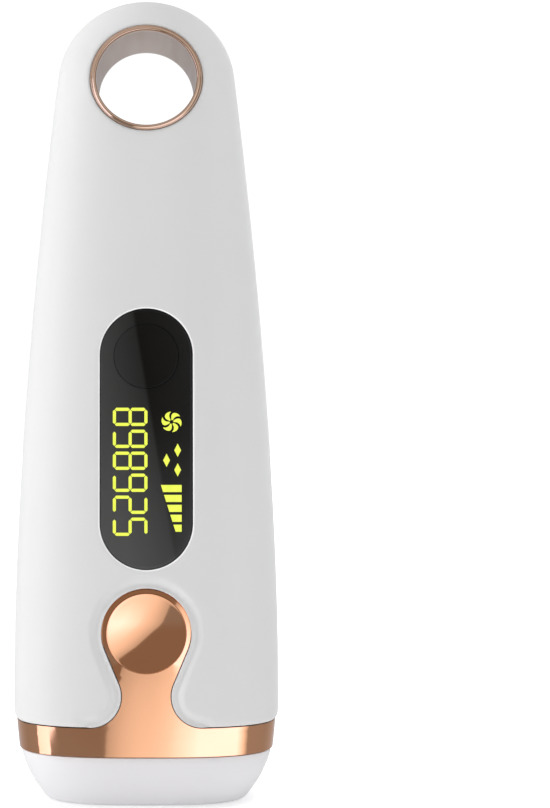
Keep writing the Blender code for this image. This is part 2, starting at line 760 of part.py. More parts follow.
def make_screw(name, x, z, seat, head, shaft, material="steel"):
    """A pan-head screw along Y. seat is where the head's underside is, head and shaft are (radius, length);
    a negative length points to the front."""
    direction = 1 if head[1] > 0 else -1
    profile = [
        (0, abs(head[1])),
        (head[0] * 0.7, abs(head[1])),
        (head[0], abs(head[1]) * 0.5),
        (head[0], 0),
        (shaft[0], 0),
        (shaft[0], 0.6 * MM - abs(shaft[1])),
        (shaft[0] * 0.5, -abs(shaft[1])),
        (0, -abs(shaft[1])),
    ]
    screw = turned(name, profile, (x, seat, z), material, 12)
    if direction > 0:
        screw.rotation_euler = (math.radians(-90), 0, 0)
    return smooth(screw)


def make_screws():
    for i, (x, z) in enumerate(HOUSING_SCREWS, 1):
        make_screw(f"housing_screw_{i}", x, z, 6.3 * MM, (2.8 * MM, 1.9 * MM), (1.2 * MM, 13 * MM))
    rear_face = FRONT_BOARD_Y + BOARD_THICKNESS + GAP
    for i, (x, z) in enumerate(FRONT_BOARD_SCREWS, 1):
        make_screw(f"front_board_screw_{i}", x, z, rear_face, (2 * MM, 1.3 * MM), (0.9 * MM, 4.4 * MM))
    front_face = MAIN_BOARD_Y - GAP
    for i, (x, z) in enumerate(MAIN_BOARD_SCREWS, 1):
        make_screw(f"main_board_screw_{i}", x, z, front_face, (2 * MM, -1.3 * MM), (0.9 * MM, 5.5 * MM))


def make_jack():
    back = MAIN_BOARD_Y + BOARD_THICKNESS + GAP
    jack = box("dc_jack", (-4.5 * MM, back, JACK_Z - 5.5 * MM), (4.5 * MM, 14 * MM, JACK_Z + 5.5 * MM), "black_plastic")
    join(jack, rods("jack_nose", [(0, JACK_Z, JACK_NOSE_RADIUS, 12 * MM, JACK_FACE_Y)], segments=24))
    cut(jack, rods("jack_socket", [(0, JACK_Z, 2.8 * MM, 9.8 * MM, FAR)], segments=20))
    cylinder("dc_jack_pin", (0, 13.3 * MM, JACK_Z), 1 * MM, 6.5 * MM, "Y", "steel", 12)


def make_wiring():
    """Leads from the lamp caps, the fan and the front board; each ends square to the board it meets."""
    solder = MAIN_BOARD_Y - GAP
    for name, side in (("lamp_lead_left", -1), ("lamp_lead_right", 1)):
        cap = side * LAMP_CAP_X
        points = [
            (cap, 0, LAMP_Z + 3.8 * MM),
            (cap, 0, 20 * MM),
            (side * 22 * MM, 0, 32 * MM),
            (side * 20.5 * MM, 0, 58 * MM),
            (side * 14 * MM, 0, 70 * MM),
            (side * 10 * MM, 2 * MM, 74 * MM),
            (side * 10 * MM, solder, 74 * MM),
        ]
        tube(name, points, 0.9 * MM, "wire_white")
    fan_points = [
        (5 * MM, FAN_FRONT + 4 * MM, FAN_Z + FAN_SIZE / 2 + GAP),
        (5 * MM, FAN_FRONT + 3 * MM, 66.6 * MM),
        (5 * MM, 4.5 * MM, 66.8 * MM),
        (5 * MM, 3 * MM, 70.5 * MM),
        (5 * MM, 4.5 * MM, 74 * MM),
        (5 * MM, solder, 74 * MM),
    ]
    tube("fan_lead", fan_points, 0.7 * MM, "wire_red")
    harness_points = [
        (8 * MM, FRONT_BOARD_Y + BOARD_THICKNESS + GAP, 98 * MM),
        (8 * MM, -6 * MM, 98 * MM),
        (8 * MM, 0, 104 * MM),
        (8 * MM, 4 * MM, 108 * MM),
        (8 * MM, solder, 108 * MM),
    ]
    tube("board_harness", harness_points, 1.1 * MM, "wire_white")


# ---------------------------------------------------------------- fan


def make_fan():
    half, back = FAN_SIZE / 2, FAN_FRONT + FAN_DEPTH
    frame = box("fan_frame", (-half, FAN_FRONT, FAN_Z - half), (half, back, FAN_Z + half), "black_plastic", 1 * MM)
    cut(frame, rods("fan_bore", [(0, FAN_Z, FAN_BORE, FAN_FRONT + 1.4 * MM, FAR)], segments=36))
    opening = rods("fan_outlet", [(0, FAN_Z, FAN_BORE, 0, FAN_FRONT + 2 * MM)], segments=36)
    cut(opening, rods("fan_hub", [(0, FAN_Z, 7.2 * MM, -1 * MM, 10 * MM)], segments=24))
    for angle in (0, 90):
        strut = box(f"fan_strut_{angle}", (-half, -1 * MM, -1 * MM), (half, 10 * MM, 1 * MM))
        strut.rotation_euler = (0, math.radians(45 + angle), 0)
        strut.location = (0, 4.5 * MM, FAN_Z)
        cut(opening, strut)
    cut(frame, opening)
    cut(frame, rods("bearing_seat", [(0, FAN_Z, 2.6 * MM, 0, FAR)], segments=20))
    length = 6.4 * MM
    bearing = cylinder("fan_bearing", (0, FAN_FRONT + length / 2, FAN_Z), 2.3 * MM, length, "Y", "bronze", 20)
    cut(bearing, rods("bearing_bore", [(0, FAN_Z, 1.1 * MM, 0, FAR)], segments=16))
    make_rotor()


def make_rotor():
    """A cup-shaped hub with swept blades, and the shaft that runs in the bearing."""
    front, back, hub = FAN_FRONT + 1.9 * MM, FAN_FRONT + 9.4 * MM, 7.2 * MM
    cap = 1.2 * MM
    profile = [
        (0, -back + cap),
        (hub - 0.9 * MM, -back + cap),
        (hub - 0.9 * MM, -front),
        (hub, -front),
        (hub, -back + 0.4 * MM),
        (hub - 0.4 * MM, -back),
        (0, -back),
    ]
    rotor = turned("fan_rotor", profile, (0, 0, FAN_Z), "black_plastic", 28)
    for i in range(BLADES):
        bpy.ops.mesh.primitive_cube_add(size=1)
        blade = named(f"blade_{i + 1}", None)
        blade.data.transform(Matrix.Diagonal((8.9 * MM, 0.8 * MM, 8.6 * MM, 1)))
        blade.data.transform(Matrix.Rotation(math.radians(50), 4, "X"))
        blade.data.transform(Matrix.Translation((hub + 3.9 * MM, 0, 0)))
        blade.rotation_euler = (0, math.tau * i / BLADES, 0)
        blade.location = (0, (front + back) / 2, FAN_Z)
        join(rotor, blade)
    start, end = FAN_FRONT + GAP, back - cap - GAP
    cylinder("fan_shaft", (0, (start + end) / 2, FAN_Z), 1 * MM, end - start, "Y", "steel", 14)


clear_scene()
DEVICE = new_collection("ipl_hair_remover")
HELPERS = new_collection("cutters")
make_materials()
BODY_INNER = body_solid("body_inside", WALL)
BODY_MID_WALL = body_solid("body_mid_wall", WALL / 2)
RING_BORE = rods(
    "ring_bore", [(0, LINER_Z, (LINER_OUTER[0] + GAP, LINER_OUTER[1] + GAP), -REACH, REACH)], segments=48
)
make_front_shell()
make_rear_shell()
make_trim_band()
make_head_shell()
make_ring_liner()
make_display_lens()
make_mode_button()
make_flash_button()
make_window()
make_lamp()
make_reflector()
make_lamp_holder()
make_boards()
make_switch("mode", MODE_Z)
make_switch("flash", BUTTON_Z)
make_capacitor()
make_transformer()
make_power_stage()
make_screws()
make_jack()
make_wiring()
make_fan()
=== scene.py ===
"""The looks of the IPL hair remover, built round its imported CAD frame.

Row frame, metres: +Z runs up the handle, -Y is the front with the display and the buttons. The shells, the
trim, the keys and the other pieces that show are rebuilt here with fine surfaces; the pieces inside keep
their CAD solids and get materials. Sizes repeat the driving dimensions of the part's source.
"""

import math

import bmesh
import bpy
import numpy as np
from mathutils import Matrix, Vector
from mathutils.geometry import delaunay_2d_cdt


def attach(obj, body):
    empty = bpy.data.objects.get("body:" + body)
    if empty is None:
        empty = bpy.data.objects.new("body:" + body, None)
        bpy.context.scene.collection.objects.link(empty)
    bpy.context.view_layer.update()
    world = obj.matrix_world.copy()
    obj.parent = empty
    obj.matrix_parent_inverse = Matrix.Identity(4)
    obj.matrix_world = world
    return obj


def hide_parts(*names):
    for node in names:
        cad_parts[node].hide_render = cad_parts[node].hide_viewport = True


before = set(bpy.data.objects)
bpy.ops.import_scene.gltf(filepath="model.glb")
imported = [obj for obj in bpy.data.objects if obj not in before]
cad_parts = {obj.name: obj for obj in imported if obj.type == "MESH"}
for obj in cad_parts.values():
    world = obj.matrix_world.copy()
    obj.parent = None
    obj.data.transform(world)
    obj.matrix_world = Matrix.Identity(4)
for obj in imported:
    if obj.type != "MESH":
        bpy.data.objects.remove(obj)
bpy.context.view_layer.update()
MM = 0.001
GAP = 0.3 * MM

# ---------------------------------------------------------------- the body's driving dimensions

HEIGHT = 190 * MM
MAX_HALF_WIDTH = 31.5 * MM
MAX_HALF_DEPTH = 21.2 * MM
DOME_RADIUS = 21.2 * MM
CROWN_DROP = 0.9 * MM
RING_Z = HEIGHT - DOME_RADIUS
RING_HALF_DEPTH = 15 * MM
WIDEST_Z = 28 * MM
FLANK_POWER = 1.7
SECTION_EXPONENT = 3.0
WALL = 2 * MM

BAND_BOTTOM = 12.4 * MM
BAND_TOP = 18.9 * MM
SHELL_BOTTOM = BAND_TOP + GAP
TRIM_INSET = 0.62 * MM
BAND_TAPER = 0.65 * MM
BUTTON_Z = 40.7 * MM
KEYHOLE_RADIUS = 10.12 * MM
FILLET_X = 12.95 * MM
FILLET_Z = 26.3 * MM
FILLET_RADIUS = FILLET_Z - BAND_TOP

LENS_Z = 85.3 * MM
LENS_HALF_WIDTH = 10.6 * MM
LENS_HALF_LENGTH = 29.9 * MM
LENS_INSET = 0.15 * MM
MODE_Z = 104.3 * MM
MODE_RADIUS = 7.35 * MM
FLASH_RADIUS = 9.2 * MM
LINER_Z = RING_Z + 0.4 * MM
LINER_OUTER = (13.1 * MM, 12.4 * MM)
LINER_INNER = (11.7 * MM, 11.15 * MM)

HOUSING_SCREWS = ((-13.5 * MM, 151 * MM), (13.5 * MM, 151 * MM), (-22 * MM, 72 * MM), (22 * MM, 72 * MM))
WELL_RADIUS = 3.1 * MM
WELL_FLOOR = 6 * MM
JACK_Z = 128 * MM
JACK_HOLE = 4.4 * MM
FAN_Z = 47.5 * MM

# The outlet slots in each side: how many, the lowest one's height, their pitch and height, how far in and
# out they are cut, between which depths, and how round their corners are
SIDE_SLOTS = 4
SIDE_SLOT_LOWEST = 25 * MM
SIDE_SLOT_PITCH = 4 * MM
SIDE_SLOT_TALL = 1.8 * MM
SIDE_SLOT_ACROSS = (24 * MM, 36 * MM)
SIDE_SLOT_DEPTHS = (3 * MM, 11 * MM)
SIDE_SLOT_ROUNDING = 0.85 * MM

# The front is a triangulated sheet out to this share of the half width; the flanks beyond are rows of quads
SPLIT = 0.87
CORNER_STEPS = 14
DOME_STEPS = 26
SHEET_PITCH = 1.6 * MM
SEAM_HALF = 0.1 * MM
SEAM_BEVEL = 0.22 * MM
SEAM_RIB_REACH = 1.2 * MM

# What shows of the gaps between fixed pieces
TONGUE_GAP = 0.24 * MM
LENS_GAP = 0.12 * MM
KEY_GAP = 0.06 * MM
LINER_GAP = 0.1 * MM

# The channel in the shell round the tongue: its depth at the gap and at its floor, how far out the floor
# lies and how far out the channel ends
CHANNEL = (0.4 * MM, 0.72 * MM, 1.0 * MM, 3.0 * MM)

# How the joint between the shells and the band lifts towards the parting line: by how much, within what
# distance of the parting line, and how far from the joint this fades out
JOINT_LIFT = (1.2 * MM, 12 * MM, 5 * MM)

# The rounded lips at edges: how wide, how deep and how sudden
CHANNEL_LIP = (0.3 * MM, 0.15 * MM, 2.0)
COLLAR_SLOPE = 0.15
BOTTOM_LIP = (1.3 * MM, 0.5 * MM, 2.0)
RING_LIP = (0.7 * MM, 0.25 * MM, 2.0)
LENS_LIP = (0.4 * MM, 0.16 * MM, 1.6)
HOLE_LIP = (0.5 * MM, 0.22 * MM, 2.0)
JACK_LIP = (0.9 * MM, 0.4 * MM, 1.6)
WINDOW_LIP = (0.35 * MM, 0.2 * MM, 1.8)
KEY_HOLE_LIP = (0.12 * MM, 0.03 * MM, 1.8)

# How near the display window the shell's painted highlight reaches, a lighter colour on its edge
PAINTED_HIGHLIGHT_REACH = 0.34 * MM

SLOPE = FLANK_POWER / (RING_Z - WIDEST_Z)
SHOULDER = math.atan((MAX_HALF_WIDTH - DOME_RADIUS) * SLOPE)
RING_HALF_WIDTH = DOME_RADIUS / math.cos(SHOULDER)
DEPTH_SLOPE = (MAX_HALF_DEPTH - RING_HALF_DEPTH) * SLOPE
DEPTH_EASE = 5 * MM


# ---------------------------------------------------------------- the body's surface


def narrowing(z):
    return max(0.0, (z - WIDEST_Z) / (RING_Z - WIDEST_Z)) ** FLANK_POWER


def half_width(z):
    return MAX_HALF_WIDTH - (MAX_HALF_WIDTH - RING_HALF_WIDTH) * narrowing(z)


def half_depth(z):
    """Half the body's depth at its middle; above the ring's centre the taper eases out smoothly."""
    if z > RING_Z:
        return RING_HALF_DEPTH - DEPTH_SLOPE * DEPTH_EASE * (1 - math.exp(-(z - RING_Z) / DEPTH_EASE))
    return MAX_HALF_DEPTH - (MAX_HALF_DEPTH - RING_HALF_DEPTH) * narrowing(z)


def dome_radius(angle):
    if angle >= SHOULDER:
        turn = (angle - SHOULDER) / (math.pi / 2 - SHOULDER)
        return DOME_RADIUS - CROWN_DROP * math.sin(turn * math.pi / 2) ** 2
    return RING_HALF_WIDTH / (math.cos(angle) + math.sin(angle) * math.tan(SHOULDER))


def surface(x, z, inset=0.0):
    """How far in front of the middle plane the body's surface lies at (x, z), inset all round."""
    if z <= RING_Z:
        share = abs(x) / (half_width(z) - inset)
    else:
        angle = math.atan2(z - RING_Z, abs(x))
        share = math.hypot(x, z - RING_Z) / (dome_radius(angle) - inset)
    share = min(share, 1.0)
    return (half_depth(z) - inset) * section_depth(share)


def corner(steps=CORNER_STEPS):
    """Unit section points (across, depth) from the split to the widest point."""
    power = 2 / SECTION_EXPONENT
    start = math.asin(SPLIT ** (SECTION_EXPONENT / 2))
    angles = [start + (math.pi / 2 - start) * i / steps for i in range(steps + 1)]
    return [(math.sin(a) ** power, max(0.0, math.cos(a)) ** power) for a in angles]


def lip(distance, shape):
    width, depth, power = shape
    return depth * max(0.0, 1 - distance / width) ** power


def ease(t):
    t = min(1.0, max(0.0, t))
    return t * t * (3 - 2 * t)


def channel(distance):
    """How far the shell drops round the tongue: down a smooth slope to the channel's floor, then up."""
    at_gap, at_floor, floor, outer = CHANNEL
    if distance < floor:
        drop = at_gap + (at_floor - at_gap) * ease(distance / floor)
    else:
        drop = at_floor * (1 - ease((distance - floor) / (outer - floor)))
    return drop + lip(distance, CHANNEL_LIP)


def joint_lift(y, away):
    lift, reach, fade = JOINT_LIFT
    return lift * max(0.0, 1 - abs(y) / reach) ** 2 * max(0.0, 1 - away / fade)


# ---------------------------------------------------------------- outlines in (x, z)


def arc(centre, radius, start, end, steps):
    angles = [math.radians(start + (end - start) * i / steps) for i in range(steps + 1)]
    return [(centre[0] + radius * math.cos(a), centre[1] + radius * math.sin(a)) for a in angles]


def keyhole(grow):
    """The tongue's outline from its right foot over the round head to its left foot."""
    head, fillet = KEYHOLE_RADIUS + grow, FILLET_RADIUS - grow
    down = FILLET_Z - BUTTON_Z
    between = math.hypot(FILLET_X, down)
    tangent = math.degrees(math.atan2(down, FILLET_X) + math.acos((head + fillet) / between))
    right = arc((FILLET_X, FILLET_Z), fillet, 270, 180 + tangent, 26)
    top = arc((0, BUTTON_Z), head, tangent, 180 - tangent, 64)
    neck = [(right[-1][0] + (top[0][0] - right[-1][0]) * t, right[-1][1] + (top[0][1] - right[-1][1]) * t)
            for t in (0.25, 0.5, 0.75)]
    return right + neck + top + [(-x, z) for x, z in reversed(right + neck)]


def upright_slot(x, size, low, high, steps, count):
    """A slot with round ends, in the given steps round each end and count lengths along each side. size is
    its half width and how far it is grown."""
    low, high = low + size[0], high - size[0]
    radius = sum(size)
    rise = [low + (high - low) * i / count for i in range(1, count)]
    top = arc((x, high), radius, 0, 180, steps)
    bottom = arc((x, low), radius, 180, 360, steps)
    return top + [(x - radius, z) for z in reversed(rise)] + bottom + [(x + radius, z) for z in rise]


def pill(grow):
    low, high = LENS_Z - LENS_HALF_LENGTH, LENS_Z + LENS_HALF_LENGTH
    return upright_slot(0, (LENS_HALF_WIDTH, grow), low, high, 40, 30)


def oval(centre, radii, steps=72):
    angles = [math.tau * i / steps for i in range(steps)]
    return [(centre[0] + radii[0] * math.cos(a), centre[1] + radii[1] * math.sin(a)) for a in angles]


def circle(x, z, radius, steps=36):
    return lambda grow: oval((x, z), (radius + grow, radius + grow), steps)


def ring_hole(grow):
    return oval((0, LINER_Z), (LINER_OUTER[0] + LINER_GAP + grow, LINER_OUTER[1] + LINER_GAP + grow), 96)


def slot(x, half, low, high):
    """An upright slot with round ends, as a function of how far it is grown."""
    count = max(2, int((high - low) / (1.2 * MM)))
    return lambda grow: upright_slot(x, (half, grow), low, high, 8, count)


# ---------------------------------------------------------------- meshes


def link(obj):
    bpy.context.scene.collection.objects.link(obj)
    return obj


def mesh_piece(name, bm):
    mesh = bpy.data.meshes.new(name)
    bm.to_mesh(mesh)
    bm.free()
    return link(bpy.data.objects.new(name, mesh))


def smooth(obj, angle=35):
    obj.data.shade_smooth()
    obj.data.set_sharp_from_angle(angle=math.radians(angle))
    return obj


def dress(obj, body, slot_name, *materials, replaces=()):
    """Gives a piece its materials and its body, and hides the CAD nodes it stands for. slot_name is not
    used.
    """
    for material in materials:
        obj.data.materials.append(material)
    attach(obj, body)
    if replaces:
        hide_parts(*replaces)
    return obj


def to_line(points, line, closed=True):
    """Distance from each point to a polyline."""
    a = np.array(line)
    b = np.roll(a, -1, axis=0)
    if not closed:
        a, b = a[:-1], b[:-1]
    run = b - a
    length = (run**2).sum(1) + 1e-18
    best = np.full(len(points), 1e9)
    for i in range(len(a)):
        t = np.clip(((points - a[i]) @ run[i]) / length[i], 0, 1)
        gap = points - a[i] - t[:, None] * run[i]
        best = np.minimum(best, np.hypot(gap[:, 0], gap[:, 1]))
    return best


def inside(points, loop):
    """Which points lie inside a closed outline."""
    result = np.zeros(len(points), bool)
    x, z = points[:, 0], points[:, 1]
    for (ax, az), (bx, bz) in zip(loop, loop[1:] + loop[:1]):
        if az == bz:
            continue
        crosses = (az > z) != (bz > z)
        result ^= crosses & (x < (bx - ax) * (z - az) / (bz - az) + ax)
    return result


def within(points, outer, holes):
    """Which points lie inside the outer outline and outside the holes."""
    keep = inside(points, outer)
    for loop in holes:
        keep &= ~inside(points, loop)
    return keep


def triangulate(points, outer, holes):
    """Points and triangles of the flat region inside outer and outside the holes, whose own points come
    first. It works in millimetres, which suits the triangulation's tolerance."""
    edges, first = [], 0
    for loop in [outer, *holes]:
        edges += [(first + i, first + (i + 1) % len(loop)) for i in range(len(loop))]
        first += len(loop)
    scaled_up = [Vector((float(x) * 1000, float(z) * 1000)) for x, z in points]
    verts, _, faces, *_ = delaunay_2d_cdt(scaled_up, edges, [], 0, 1e-5)
    flat = np.array([(v.x, v.y) for v in verts]) / 1000
    faces = np.array([f for f in faces if len(f) == 3])
    return flat, faces[within(flat[faces].mean(1), outer, holes)]


def sheet(outer, holes, extra, pitch):
    """Points and triangles of a flat region. extra are points to use as they are; the rest is filled with a
    triangular grid that keeps clear of them."""
    loops = [outer, *holes]
    row_height, clearance = pitch * 0.866, pitch * 0.62
    fixed = np.array([p for loop in loops for p in loop])
    extra = np.array(extra).reshape(-1, 2)
    keep = within(extra, outer, holes)
    for loop in loops:
        keep &= to_line(extra, loop) > 0.09 * MM
    extra = extra[keep]
    low, high = fixed.min(0), fixed.max(0)
    rows = int((high[1] - low[1]) / row_height) + 1
    columns = int((high[0] - low[0]) / pitch) + 2
    grid = np.array([
        (low[0] + (i + 0.5 * (j % 2)) * pitch, low[1] + j * row_height)
        for j in range(rows) for i in range(columns)
    ])
    keep = within(grid, outer, holes)
    for loop in loops:
        keep &= to_line(grid, loop) > clearance
    grid = grid[keep]
    if len(extra):
        clear = np.ones(len(grid), bool)
        for start in range(0, len(extra), 400):
            part = extra[start:start + 400]
            gap = np.hypot(grid[:, None, 0] - part[None, :, 0], grid[:, None, 1] - part[None, :, 1])
            clear &= gap.min(1) > clearance
        grid = grid[clear]
    return triangulate(np.vstack([fixed, extra, grid]), outer, holes)


def rings(outline, offsets):
    return [p for offset in offsets for p in outline(offset)]


def add_sheet(bm, flat, faces, depths):
    """Puts a flat sheet's points at the given depths."""
    verts = [bm.verts.new((x, y, z)) for (x, z), y in zip(flat, depths)]
    for face in faces:
        bm.faces.new([verts[i] for i in face])


def on_body(flat, drop, side):
    """Depths that lay points on the body's surface, sunk by drop. side is -1 in front and 1 at the rear."""
    return [side * surface(x, z, d) for (x, z), d in zip(flat, drop)]


def add_grid(bm, rows, closed=False):
    grid = [[bm.verts.new(p) for p in row] for row in rows]
    for low, high in zip(grid, grid[1:]):
        pairs = list(zip(range(len(low)), range(1, len(low))))
        if closed:
            pairs.append((len(low) - 1, 0))
        for i, j in pairs:
            bm.faces.new((low[i], low[j], high[j], high[i]))
    return grid


def finish_sheet(name, bm, thickness):
    """Welds the sheet, faces it outwards and gives it a wall."""
    bmesh.ops.remove_doubles(bm, verts=bm.verts, dist=0.004 * MM)
    loose = [v for v in bm.verts if not v.link_faces]
    bmesh.ops.delete(bm, geom=loose, context="VERTS")
    bmesh.ops.recalc_face_normals(bm, faces=bm.faces)
    bm.normal_update()
    facing_out = sum(f.normal.xy.dot(f.calc_center_median().xy) * f.calc_area() for f in bm.faces)
    if facing_out < 0:
        bmesh.ops.reverse_faces(bm, faces=bm.faces)
    obj = mesh_piece(name, bm)
    solid = obj.modifiers.new("wall", "SOLIDIFY")
    solid.thickness = thickness
    solid.offset = -1
    solid.use_even_offset = False
    return obj


def apply_modifiers(obj):
    bpy.context.view_layer.update()
    mesh = bpy.data.meshes.new_from_object(obj.evaluated_get(bpy.context.evaluated_depsgraph_get()))
    obj.modifiers.clear()
    obj.data = mesh
    return obj


# ---------------------------------------------------------------- shells


def shell_rows():
    """Heights of the flank rows, close together at the rounded lower edge."""
    near = [0, 0.12, 0.3, 0.55, 0.9, 1.35, 2.2, 3.6]
    rows = [SHELL_BOTTOM + d * MM for d in near]
    count = 34
    return rows + [rows[-1] + (RING_Z - rows[-1]) * i / count for i in range(1, count + 1)]


def shell_stations():
    """(centre z, angle) of each line from the middle out to the outline: right flank, dome, left flank."""
    right = [(z, 0.0) for z in shell_rows()]
    right += [(RING_Z, SHOULDER + (math.pi / 2 - SHOULDER) * i / DOME_STEPS) for i in range(DOME_STEPS + 1)]
    return right + [(z, math.pi - a) for z, a in reversed(right[:-1])]


def station_point(centre, angle, across, depth, side, extra=0.0):
    sharp = min(angle, math.pi - angle)
    inset = lip(centre - SHELL_BOTTOM, BOTTOM_LIP) + extra
    radius = (half_width(centre) if sharp == 0 else dome_radius(sharp)) - inset
    x = radius * across * math.cos(angle)
    z = centre + radius * across * math.sin(angle)
    y = (half_depth(z) - inset) * depth
    return (x, side * y, z + joint_lift(y, centre - SHELL_BOTTOM))


def edge_row(start, end, z, step=1.1 * MM):
    count = max(2, int(abs(end - start) / step))
    return [(start + (end - start) * i / count, z) for i in range(1, count)]


def make_shell(name, side, openings, notch=None):
    """One half of the body. openings are (outline, lip, ring offsets); notch is the keyhole or None."""
    stations = shell_stations()
    section = corner()
    boundary = [station_point(c, a, *section[0], side) for c, a in stations]
    outer = [(p[0], p[2]) for p in boundary]
    left, right = outer[-1], outer[0]
    low = left[1]
    if notch:
        cut = notch(TONGUE_GAP)
        outer += edge_row(left[0], cut[-1][0], low) + cut[::-1] + edge_row(cut[0][0], right[0], low)
    else:
        outer += edge_row(left[0], right[0], low)
    holes = [outline(0.0) for outline, _, _ in openings]
    extra = [p for outline, _, offsets in openings for p in rings(outline, offsets)]
    edge_offsets = [0.12, 0.3, 0.55, 0.9, 1.35, 2.2]
    extra += [(x, SHELL_BOTTOM + d * MM) for d in edge_offsets for x, _ in edge_row(left[0], right[0], 0)]
    if notch:
        extra = [p for p in extra if p[1] > SHELL_BOTTOM + 3 * MM or abs(p[0]) > FILLET_X + 1 * MM]
        offsets = fine(0.12, 0.3, 0.55, 0.8, 1.05, 1.35, 1.7, 2.05, 2.4, 2.75, 3.1, 3.5)
        extra += rings(lambda g: notch(TONGUE_GAP + g), offsets)
    flat, faces = sheet(outer, holes, extra, SHEET_PITCH)
    drop = np.array([lip(z - SHELL_BOTTOM, BOTTOM_LIP) for _, z in flat])
    for loop, (_, shape, _) in zip(holes, openings):
        distance = to_line(flat, loop)
        drop = np.maximum(drop, [lip(d, shape) for d in distance])
    if notch:
        distance = to_line(flat, notch(TONGUE_GAP), closed=False)
        drop = np.maximum(drop, [channel(d) for d in distance])
    bm = bmesh.new()
    add_sheet(bm, flat, faces, on_body(flat, drop, side))
    rows = []
    for centre, angle in stations:
        row = [station_point(centre, angle, *unit, side) for unit in section[:-1]]
        x, _, z = station_point(centre, angle, 1.0, 0.0, side, 0.02 * MM)
        row.append((x, side * (SEAM_HALF + SEAM_BEVEL), z))
        x, _, z = station_point(centre, angle, 1.0, 0.0, side, SEAM_BEVEL)
        row.append((x, side * SEAM_HALF, z))
        rows.append(row)
    add_grid(bm, rows)
    return finish_sheet(name, bm, WALL)


def fine(*offsets):
    return [d * MM for d in offsets]


def make_front_shell(material, painted_highlight_material):
    openings = [
        (ring_hole, RING_LIP, fine(0.15, 0.35, 0.7, 1.5)),
        (lambda grow: pill(LENS_GAP + grow), LENS_LIP, fine(0.13, 0.3, 0.55, 1.3)),
    ]
    shell = make_shell("front_shell_skin", -1, openings, keyhole)
    apply_modifiers(shell)
    faces = shell.data.polygons
    centres = np.array([(face.center.x, face.center.z) for face in faces])
    # Painted highlight: the shell's faces next to the display window take the lighter edge material
    at_window = to_line(centres, pill(LENS_GAP)) < PAINTED_HIGHLIGHT_REACH
    for face, bright in zip(faces, at_window):
        face.material_index = 1 if bright and face.center.y < 0 else 0
    return dress(smooth(shell), "housing", "white_shell", material, painted_highlight_material, replaces=["front_shell"])


def make_tongue_bed(material):
    """The floor of the recess that the tongue lies in, open round the flash key."""
    depth, reach, low = 2.3 * MM, 2.5 * MM, 15 * MM
    outer = keyhole(reach) + [(-FILLET_X, low), (FILLET_X, low)]
    flat, faces = sheet(outer, [circle(0, BUTTON_Z, 11.4 * MM)(0.0)], [], 2.5 * MM)
    bm = bmesh.new()
    add_sheet(bm, flat, faces, on_body(flat, [depth] * len(flat), -1))
    obj = finish_sheet("tongue_bed", bm, 0.8 * MM)
    return dress(smooth(obj), "housing", "white_shell", material)


def make_seam_rib(material):
    """A thin rib inside the joint between the shells, so that no light passes through the joint."""
    bm = bmesh.new()
    rows = []
    for centre, angle in shell_stations():
        x, _, z = station_point(centre, angle, 1.0, 0.0, 1, WALL + 0.05 * MM)
        rows.append([(x, y, z) for y in (-SEAM_RIB_REACH, SEAM_RIB_REACH)])
    add_grid(bm, rows)
    rib = finish_sheet("seam_rib", bm, 0.5 * MM)
    return dress(smooth(rib), "housing", "white_shell", material)


def grille():
    reach, pitch, half = 14.5 * MM, 3.6 * MM, 0.9 * MM
    for i in range(-3, 4):
        x = i * pitch
        length = math.sqrt(reach**2 - x**2)
        yield slot(x, half, FAN_Z - length, FAN_Z + length)


def rounded_cutter(name, low, high, radius):
    bpy.ops.mesh.primitive_cube_add(size=1)
    obj = bpy.context.object
    obj.name = name
    low, high = Vector(low), Vector(high)
    obj.data.transform(Matrix.Translation((low + high) / 2) @ Matrix.Diagonal((*(high - low), 1)))
    bevel = obj.modifiers.new("round", "BEVEL")
    bevel.width = radius
    bevel.segments = 4
    return apply_modifiers(obj)


def cut_out(obj, cutter):
    difference = obj.modifiers.new("cut", "BOOLEAN")
    difference.operation = "DIFFERENCE"
    difference.object = cutter
    return difference


def make_rear_shell(material):
    openings = [(ring_hole, RING_LIP, fine(0.15, 0.35, 0.7, 1.5))]
    openings += [(outline, HOLE_LIP, fine(0.2, 0.5)) for outline in grille()]
    openings += [(circle(x, z, WELL_RADIUS), HOLE_LIP, fine(0.15, 0.4, 1.0)) for x, z in HOUSING_SCREWS]
    openings.append((circle(0, JACK_Z, JACK_HOLE, 48), JACK_LIP, fine(0.15, 0.4, 0.8, 1.4)))
    shell = make_shell("rear_shell_skin", 1, openings)
    apply_modifiers(shell)
    near, far = SIDE_SLOT_DEPTHS
    cutters = []
    for side in (-1, 1):
        low, high = sorted(side * x for x in SIDE_SLOT_ACROSS)
        for i in range(SIDE_SLOTS):
            z = SIDE_SLOT_LOWEST + i * SIDE_SLOT_PITCH
            corners = (low, near, z), (high, far, z + SIDE_SLOT_TALL)
            cutters.append(rounded_cutter("side_slot", *corners, SIDE_SLOT_ROUNDING))
    for cutter in cutters:
        cut_out(shell, cutter)
    apply_modifiers(shell)
    for cutter in cutters:
        bpy.data.objects.remove(cutter)
    return dress(smooth(shell), "housing", "white_shell", material, replaces=["rear_shell"])


# ---------------------------------------------------------------- turned and lofted pieces


def lathe(name, profile, centre, steps, towards_front=True):
    """A closed solid turned about Y. profile is (radius, height) points, height measured from centre."""
    bm = bmesh.new()
    sign = -1 if towards_front else 1
    columns = []
    for i in range(steps):
        a = math.tau * i / steps
        column = []
        for radius, height in profile:
            x, z = centre[0] + radius * math.cos(a), centre[2] + radius * math.sin(a)
            column.append(bm.verts.new((x, centre[1] + sign * height, z)))
        columns.append(column)
    for a, b in zip(columns, columns[1:] + columns[:1]):
        for k in range(len(profile) - 1):
            bm.faces.new((a[k], b[k], b[k + 1], a[k + 1]))
    bmesh.ops.remove_doubles(bm, verts=bm.verts, dist=0.0005 * MM)
    bmesh.ops.holes_fill(bm, edges=bm.edges, sides=0)
    bmesh.ops.recalc_face_normals(bm, faces=bm.faces)
    return mesh_piece(name, bm)


def in_mm(*points):
    return [(a * MM, b * MM) for a, b in points]


